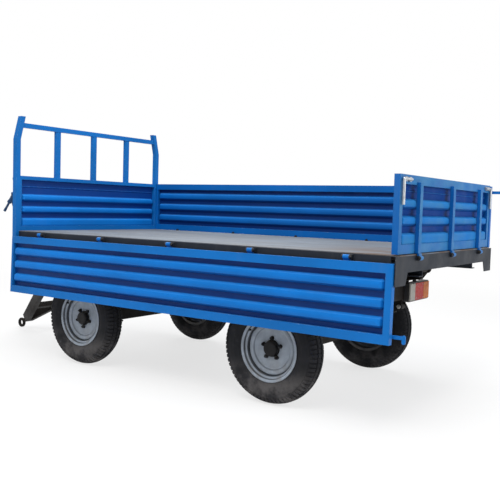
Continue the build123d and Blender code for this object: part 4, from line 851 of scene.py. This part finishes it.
LAMP_Y, LAMP_Z, LENS_X = 0.494, 0.710, -1.8495
SCREWS_Y, SCREWS_Z = (-0.1715, -0.0925, -0.0650, 0.0525, 0.0820, 0.1690), (-0.0500, 0.0500)
SCREW_PROUD, SCREW_HEAD = 0.0003, (14, 0.0042, 0.0018, 0.0008)
SCREW_CROSS, CROSS_BEVEL = ((0.0008, 0.0056, 0.0012), (0.0008, 0.0012, 0.0056)), 0.0002

POST_FACE, POST_Y = BED_FRONT + 0.044, 0.862
POST_BOLT, POST_BOLTS_Z = (0.020, 0.008, 0.0125), (0.984, 1.028)
# Spots on a post as (forward of its face, z)
LEVER_TOP, LEVER_LOW, LEVER_LOW_Y = (0.015, 1.365), (0.110, 1.216), 0.884
LINK_SPOT, LEVER_STOP_SPOT = (0.004, 1.222), (0.012, 1.315)
CATCH_EYE_SPOT, CATCH_PIN_SPOT = (0.006, 1.495), (0.012, 1.495)
# Rods of the lever as shares of its length, and a radius: grip, sleeve, rod, end
LEVER_RODS = ((0.0, 0.46, 0.0145), (0.40, 0.52, 0.0185), (0.50, 1.0, 0.0098), (0.84, 1.0, 0.0115))
LINK_SHARE, LINK_RADIUS, LINK_OUT, LINK_BLOCK = 0.26, 0.0070, 0.004, (0.014, 0.024, 0.034)
LEVER_BOSS, BOSS_OUT = (18, 0.0120, 0.006, 0.0015), 0.0145
LEVER_STOP, CATCH_EYE = (0.028, 0.022, 0.040), (0.016, 0.030, 0.026)
CATCH_PIN = (16, 0.0080, 0.014, 0.002)
LATCH_BEVEL = 0.003

WELD = 0.0035
GUARD_BACK, GUARD_FRONT = BED_FRONT + 0.007, BED_FRONT + 0.037
UPRIGHTS_Y, UPRIGHT_HALF, UPRIGHT_ENDS = (-0.430, 0.0, 0.430), 0.025, (1.521, 1.930)
TUBE_Z, POST_INNER = (1.935, 1.965), 0.840
BEND_Z, BEND_IN, BEND_RISE = 1.830, 0.048, 0.195    # the posts lean inwards above this height
POST_WELD_X, POST_WELD_Z = BED_FRONT + 0.040, (1.070, 1.515)

RING_BOLTS, RING_RADIUS, RING_Z, RING_BOLT = 16, 0.365, 0.737, (0.018, 0.0035)


def hinge_pins():
    """Round heads, washers and split pins at the ends of the hinge pins."""
    work = bmesh.new()
    for x in SIDE_HINGES:
        for sign in SIDES.values():
            for end in BOTH:
                for disc in PIN_DISCS:
                    spot = (x + end * HINGE_END, sign * HINGE_Y, HINGE_Z)
                    add_disc(work, disc, spot, (end, 0, 0))
            spot = Vector((x + HINGE_END + SPLIT_PIN_OUT, sign * HINGE_Y, HINGE_Z))
            half = Vector((0, 0, SPLIT_PIN_HALF))
            add_rod(work, spot - half, spot + half, SPLIT_PIN_RADIUS, 8)
    for y in TAIL_HINGES:
        for end in BOTH:
            for disc in PIN_DISCS:
                add_disc(work, disc, (TAIL_HINGE_X, y + end * HINGE_END, HINGE_Z), (0, end, 0))
    piece("hinge_pin_heads", work, hub_black, "bed")


def shaded_knuckle_domes():
    """Black domes on the floor's edge inside the right side, one at each hinge: the hinge knuckles
    seen there, their black a painted shade.
    """
    work = bmesh.new()
    for x in SIDE_HINGES:
        spot = Matrix.Translation((x, KNUCKLE_DOME_Y, FLOOR_TOP))
        for share, rise in KNUCKLE_DOME_STEPS:
            add_prism(work, 20, KNUCKLE_DOME_RADIUS * share, KNUCKLE_DOME_HEIGHT * rise, spot, KNUCKLE_DOME_CHAMFER)
    piece("shaded_knuckle_domes", work, pad_black, "bed")


def spring_nuts(body):
    """Nuts on the spring clamps' rods and bolts through the spring eyes."""
    x, y = SPRINGS[body]
    work = bmesh.new()
    for sign in SIDES.values():
        for px in (-CLAMP_X, CLAMP_X):
            for py in (-CLAMP_Y, CLAMP_Y):
                add_bolt(work, (x + px, sign * y + py, CLAMP_LOW), DOWN, *CLAMP_NUT)
                add_bolt(work, (x + px, sign * y + py, CLAMP_TOP), UP, *CLAMP_NUT)
        for eye in (-EYE_X, EYE_X):
            for end in BOTH:
                spot = (x + eye, sign * y + end * EYE_Y, EYE_Z)
                add_bolt(work, spot, (0, end, 0), *EYE_BOLT, EYE_STUD if end < 0 else 0.0)
        add_bolt(work, (x, sign * y, CLAMP_TOP), UP, *CENTRE_BOLT)
    piece(f"{body}_spring_nuts", work, bolt_steel, body)


def drawbar_pins():
    """Pin heads, washers and split pins at the drawbar's hinge."""
    work = bmesh.new()
    for sign in SIDES.values():
        for disc in DRAW_HEADS:
            add_disc(work, disc, (DRAW_X, sign * DRAW_OUTSIDE, DRAW_Z), (0, sign, 0))
        for disc in DRAW_ENDS:
            add_disc(work, disc, (DRAW_X, sign * DRAW_INSIDE, DRAW_Z), (0, -sign, 0))
        y = sign * DRAW_INSIDE - sign * DRAW_PIN_IN
        low, high = ((DRAW_X, y, DRAW_Z + end) for end in (-DRAW_PIN_HALF, DRAW_PIN_HALF))
        add_rod(work, low, high, DRAW_PIN_RADIUS, 10)
    piece("drawbar_pin_heads", work, bolt_steel, "bogie")


def lamp_screws():
    """Cross-head screws in the lenses."""
    work = bmesh.new()
    for sign in SIDES.values():
        for y in SCREWS_Y:
            for z in SCREWS_Z:
                spot = Vector((LENS_X + SCREW_PROUD, sign * (LAMP_Y + y), LAMP_Z + z))
                add_disc(work, SCREW_HEAD, spot, BACKWARD)
                for size in SCREW_CROSS:
                    add_block(work, spot - Vector((SCREW_HEAD[2], 0, 0)), size, CROSS_BEVEL)
    piece("lens_screws", work, bolt_steel, "chassis")


def post_bolts():
    """Bolts through the feet of the posts."""
    work = bmesh.new()
    for sign in SIDES.values():
        for z in POST_BOLTS_Z:
            add_bolt(work, (POST_FACE, sign * POST_Y, z), FORWARD, *POST_BOLT)
    piece("bed_bolts", work, bolt_steel, "bed")


def on_post(sign, spot, y=POST_Y):
    """Point in front of a post's face."""
    forward, z = spot
    return Vector((POST_FACE + forward, sign * y, z))


def front_latches():
    """Lever's grip, sleeve, link and stop on each post, and the eye for the side's catch."""
    work = bmesh.new()
    for sign in SIDES.values():
        top, low = on_post(sign, LEVER_TOP), on_post(sign, LEVER_LOW, LEVER_LOW_Y)
        for start, end, radius in LEVER_RODS:
            add_rod(work, top.lerp(low, start), top.lerp(low, end), radius)
        link = on_post(sign, LINK_SPOT)
        add_rod(work, top.lerp(low, LINK_SHARE), link, LINK_RADIUS)
        add_block(work, link + Vector((LINK_OUT, 0, 0)), LINK_BLOCK, LATCH_BEVEL)
        for end in BOTH:
            add_disc(work, LEVER_BOSS, top + Vector((0, end * BOSS_OUT, 0)), (0, end, 0))
        add_block(work, on_post(sign, LEVER_STOP_SPOT), LEVER_STOP, LATCH_BEVEL)
        add_block(work, on_post(sign, CATCH_EYE_SPOT), CATCH_EYE, LATCH_BEVEL)
        add_disc(work, CATCH_PIN, on_post(sign, CATCH_PIN_SPOT), FORWARD)
    piece("front_latch_fittings", work, latch_paint, "bed")


def guard_welds():
    """Weld beads where the guard's tube and uprights meet, and at the posts."""
    work = bmesh.new()
    for y in UPRIGHTS_Y:
        for z in UPRIGHT_ENDS:
            for x in (GUARD_BACK, GUARD_FRONT):
                add_weld(work, (x, y - UPRIGHT_HALF, z), (x, y + UPRIGHT_HALF, z), WELD)
            for end in (-UPRIGHT_HALF, UPRIGHT_HALF):
                add_weld(work, (GUARD_BACK, y + end, z), (GUARD_FRONT, y + end, z), WELD)
    for sign in SIDES.values():
        for z in TUBE_Z:
            y = sign * (POST_INNER - BEND_IN * (z - BEND_Z) / BEND_RISE)
            add_weld(work, (GUARD_BACK, y, z), (GUARD_FRONT, y, z), WELD)
        low, high = ((POST_WELD_X, sign * POST_INNER, z) for z in POST_WELD_Z)
        add_weld(work, low, high, WELD)
    piece("headboard_welds", work, blue, "bed")


def turntable_bolts():
    """Flat bolt heads round the turntable's lower ring."""
    work = bmesh.new()
    for step in range(RING_BOLTS):
        angle = 2 * math.pi * (step + 0.5) / RING_BOLTS
        x, y = RING_RADIUS * math.cos(angle), RING_RADIUS * math.sin(angle)
        add_bolt(work, (AXLES["front"] + x, y, RING_Z), UP, *RING_BOLT)
    piece("bogie_ring_bolts", work, bolt_steel, "bogie")


def drawbar_welds():
    """Bead round the tow eye's shank, laid in the drawbar's own frame."""
    work = bmesh.new()
    slope = Matrix.Rotation(math.atan2(DRAW_FALL, DRAW_RUN), 4, "Y")
    lay = Matrix.Translation((DRAW_X, 0, DRAW_Z)) @ slope
    x = math.hypot(DRAW_FALL, DRAW_RUN) - DRAW_SHANK + SHANK_OUT
    for z in (-SHANK_Z, SHANK_Z):
        low, high = (lay @ Vector((x, y, z)) for y in (-SHANK_Y, SHANK_Y))
        add_weld(work, low, high, SHANK_WELD)
    for y in (-SHANK_Y, SHANK_Y):
        low, high = (lay @ Vector((x, y, z)) for z in (-SHANK_Z, SHANK_Z))
        add_weld(work, low, high, SHANK_WELD)
    piece("drawbar_welds", work, chassis_black, "drawbar")


hinge_pins()
shaded_knuckle_domes()
for carrier in SPRINGS:
    spring_nuts(carrier)
drawbar_pins()
lamp_screws()
post_bolts()
front_latches()
guard_welds()
turntable_bolts()
drawbar_welds()


# ---------------------------------------------------------------- stage, light, camera

WHITE, FLOOR_WHITE, SKY = rgb(1, 1, 1), rgb(0.86, 0.86, 0.86), rgb(0.93, 0.96, 1.0)
AMBIENT = 0.30
FLOOR_HALF = 60.0
FLOOR_FADE = (2.5, 9.0, 0.72, 1.0)    # distances between which plain white takes over, and shares
# Spot, target, size, power and colour of each lamp
LAMPS = {"key": ((-2.0, 4.5, 6.5), (0, 0.3, 0.9), (5, 3.5), 380.0, (1.0, 0.99, 0.97)),
         "top": ((0.0, 0.0, 6.5), (0, 0, 0.8), (7, 5), 310.0, (1, 1, 1)),
         "fill": ((-6.5, -1.5, 3.0), (0, 0, 0.9), (4, 3), 150.0, (0.95, 0.97, 1.0)),
         "far": ((4.5, -5.5, 4.5), (0, 0, 0.9), (5, 3.5), 240.0, (1, 1, 1))}
# The photo's camera: degrees, place, focal length over the picture's width, sensor in mm
YAW, PITCH, ROLL = -55.04, -3.36, 1.682
CAMERA_SPOT = (-3.405 + SHIFT_X, 4.743, 1.306)
FOCAL, PICTURE, SENSOR = 719.4, 500.0, 36.0


def build_stage():
    """White floor that keeps the object's shadow near it."""
    graph = Graph("studio_floor")
    share = graph.ramp(graph.vector("LENGTH", {0: graph.where}, "Value"), *FLOOR_FADE)
    diffuse = graph.node("ShaderNodeBsdfDiffuse", {"Color": FLOOR_WHITE})
    glow = graph.node("ShaderNodeEmission", {"Color": WHITE, "Strength": 1.0})
    graph.show_mixed(graph.times(share, graph.seen()), diffuse, glow)
    work = bmesh.new()
    bmesh.ops.create_grid(work, x_segments=1, y_segments=1, size=FLOOR_HALF)
    mesh = mesh_from(work, "floor")
    mesh.materials.append(graph.owner)
    floor = add_object("studio_floor", mesh)


def build_world():
    """White behind the object, and a soft light from all round on it."""
    world = bpy.data.worlds.new("studio")
    tree = Tree(world, "ShaderNodeOutputWorld")
    ambient = tree.node("ShaderNodeBackground", {0: SKY, 1: AMBIENT})
    white = tree.node("ShaderNodeBackground", {0: WHITE})
    tree.show_mixed(tree.seen(), ambient, white)
    bpy.context.scene.world = world


def build_lights():
    for name, (spot, target, size, power, colour) in LAMPS.items():
        data = bpy.data.lights.new(name, "AREA")
        data.shape = "RECTANGLE"
        data.size, data.size_y = size
        data.energy = power
        data.color = colour
        made = add_object(name, data)
        made.location = spot
        made.rotation_mode = "QUATERNION"
        made.rotation_quaternion = (Vector(target) - Vector(spot)).to_track_quat("-Z", "Y")


def build_camera():
    yaw, pitch, roll = (math.radians(angle) for angle in (YAW, PITCH, ROLL))
    level = math.cos(pitch)
    ahead = Vector((level * math.cos(yaw), level * math.sin(yaw), math.sin(pitch)))
    right = Vector((math.sin(yaw), -math.cos(yaw), 0.0))
    up = right.cross(ahead)
    right, up = (math.cos(roll) * right + math.sin(roll) * up,
                 -math.sin(roll) * right + math.cos(roll) * up)
    data = bpy.data.cameras.new("camera")
    data.sensor_width = SENSOR
    data.lens = FOCAL / PICTURE * SENSOR
    made = add_object("camera", data)
    turn = Matrix((right, up, -ahead)).transposed().to_4x4()
    made.matrix_world = Matrix.Translation(CAMERA_SPOT) @ turn
    bpy.context.scene.camera = made


build_stage()
build_world()
build_lights()
build_camera()
bpy.context.scene.view_settings.view_transform = "Standard"
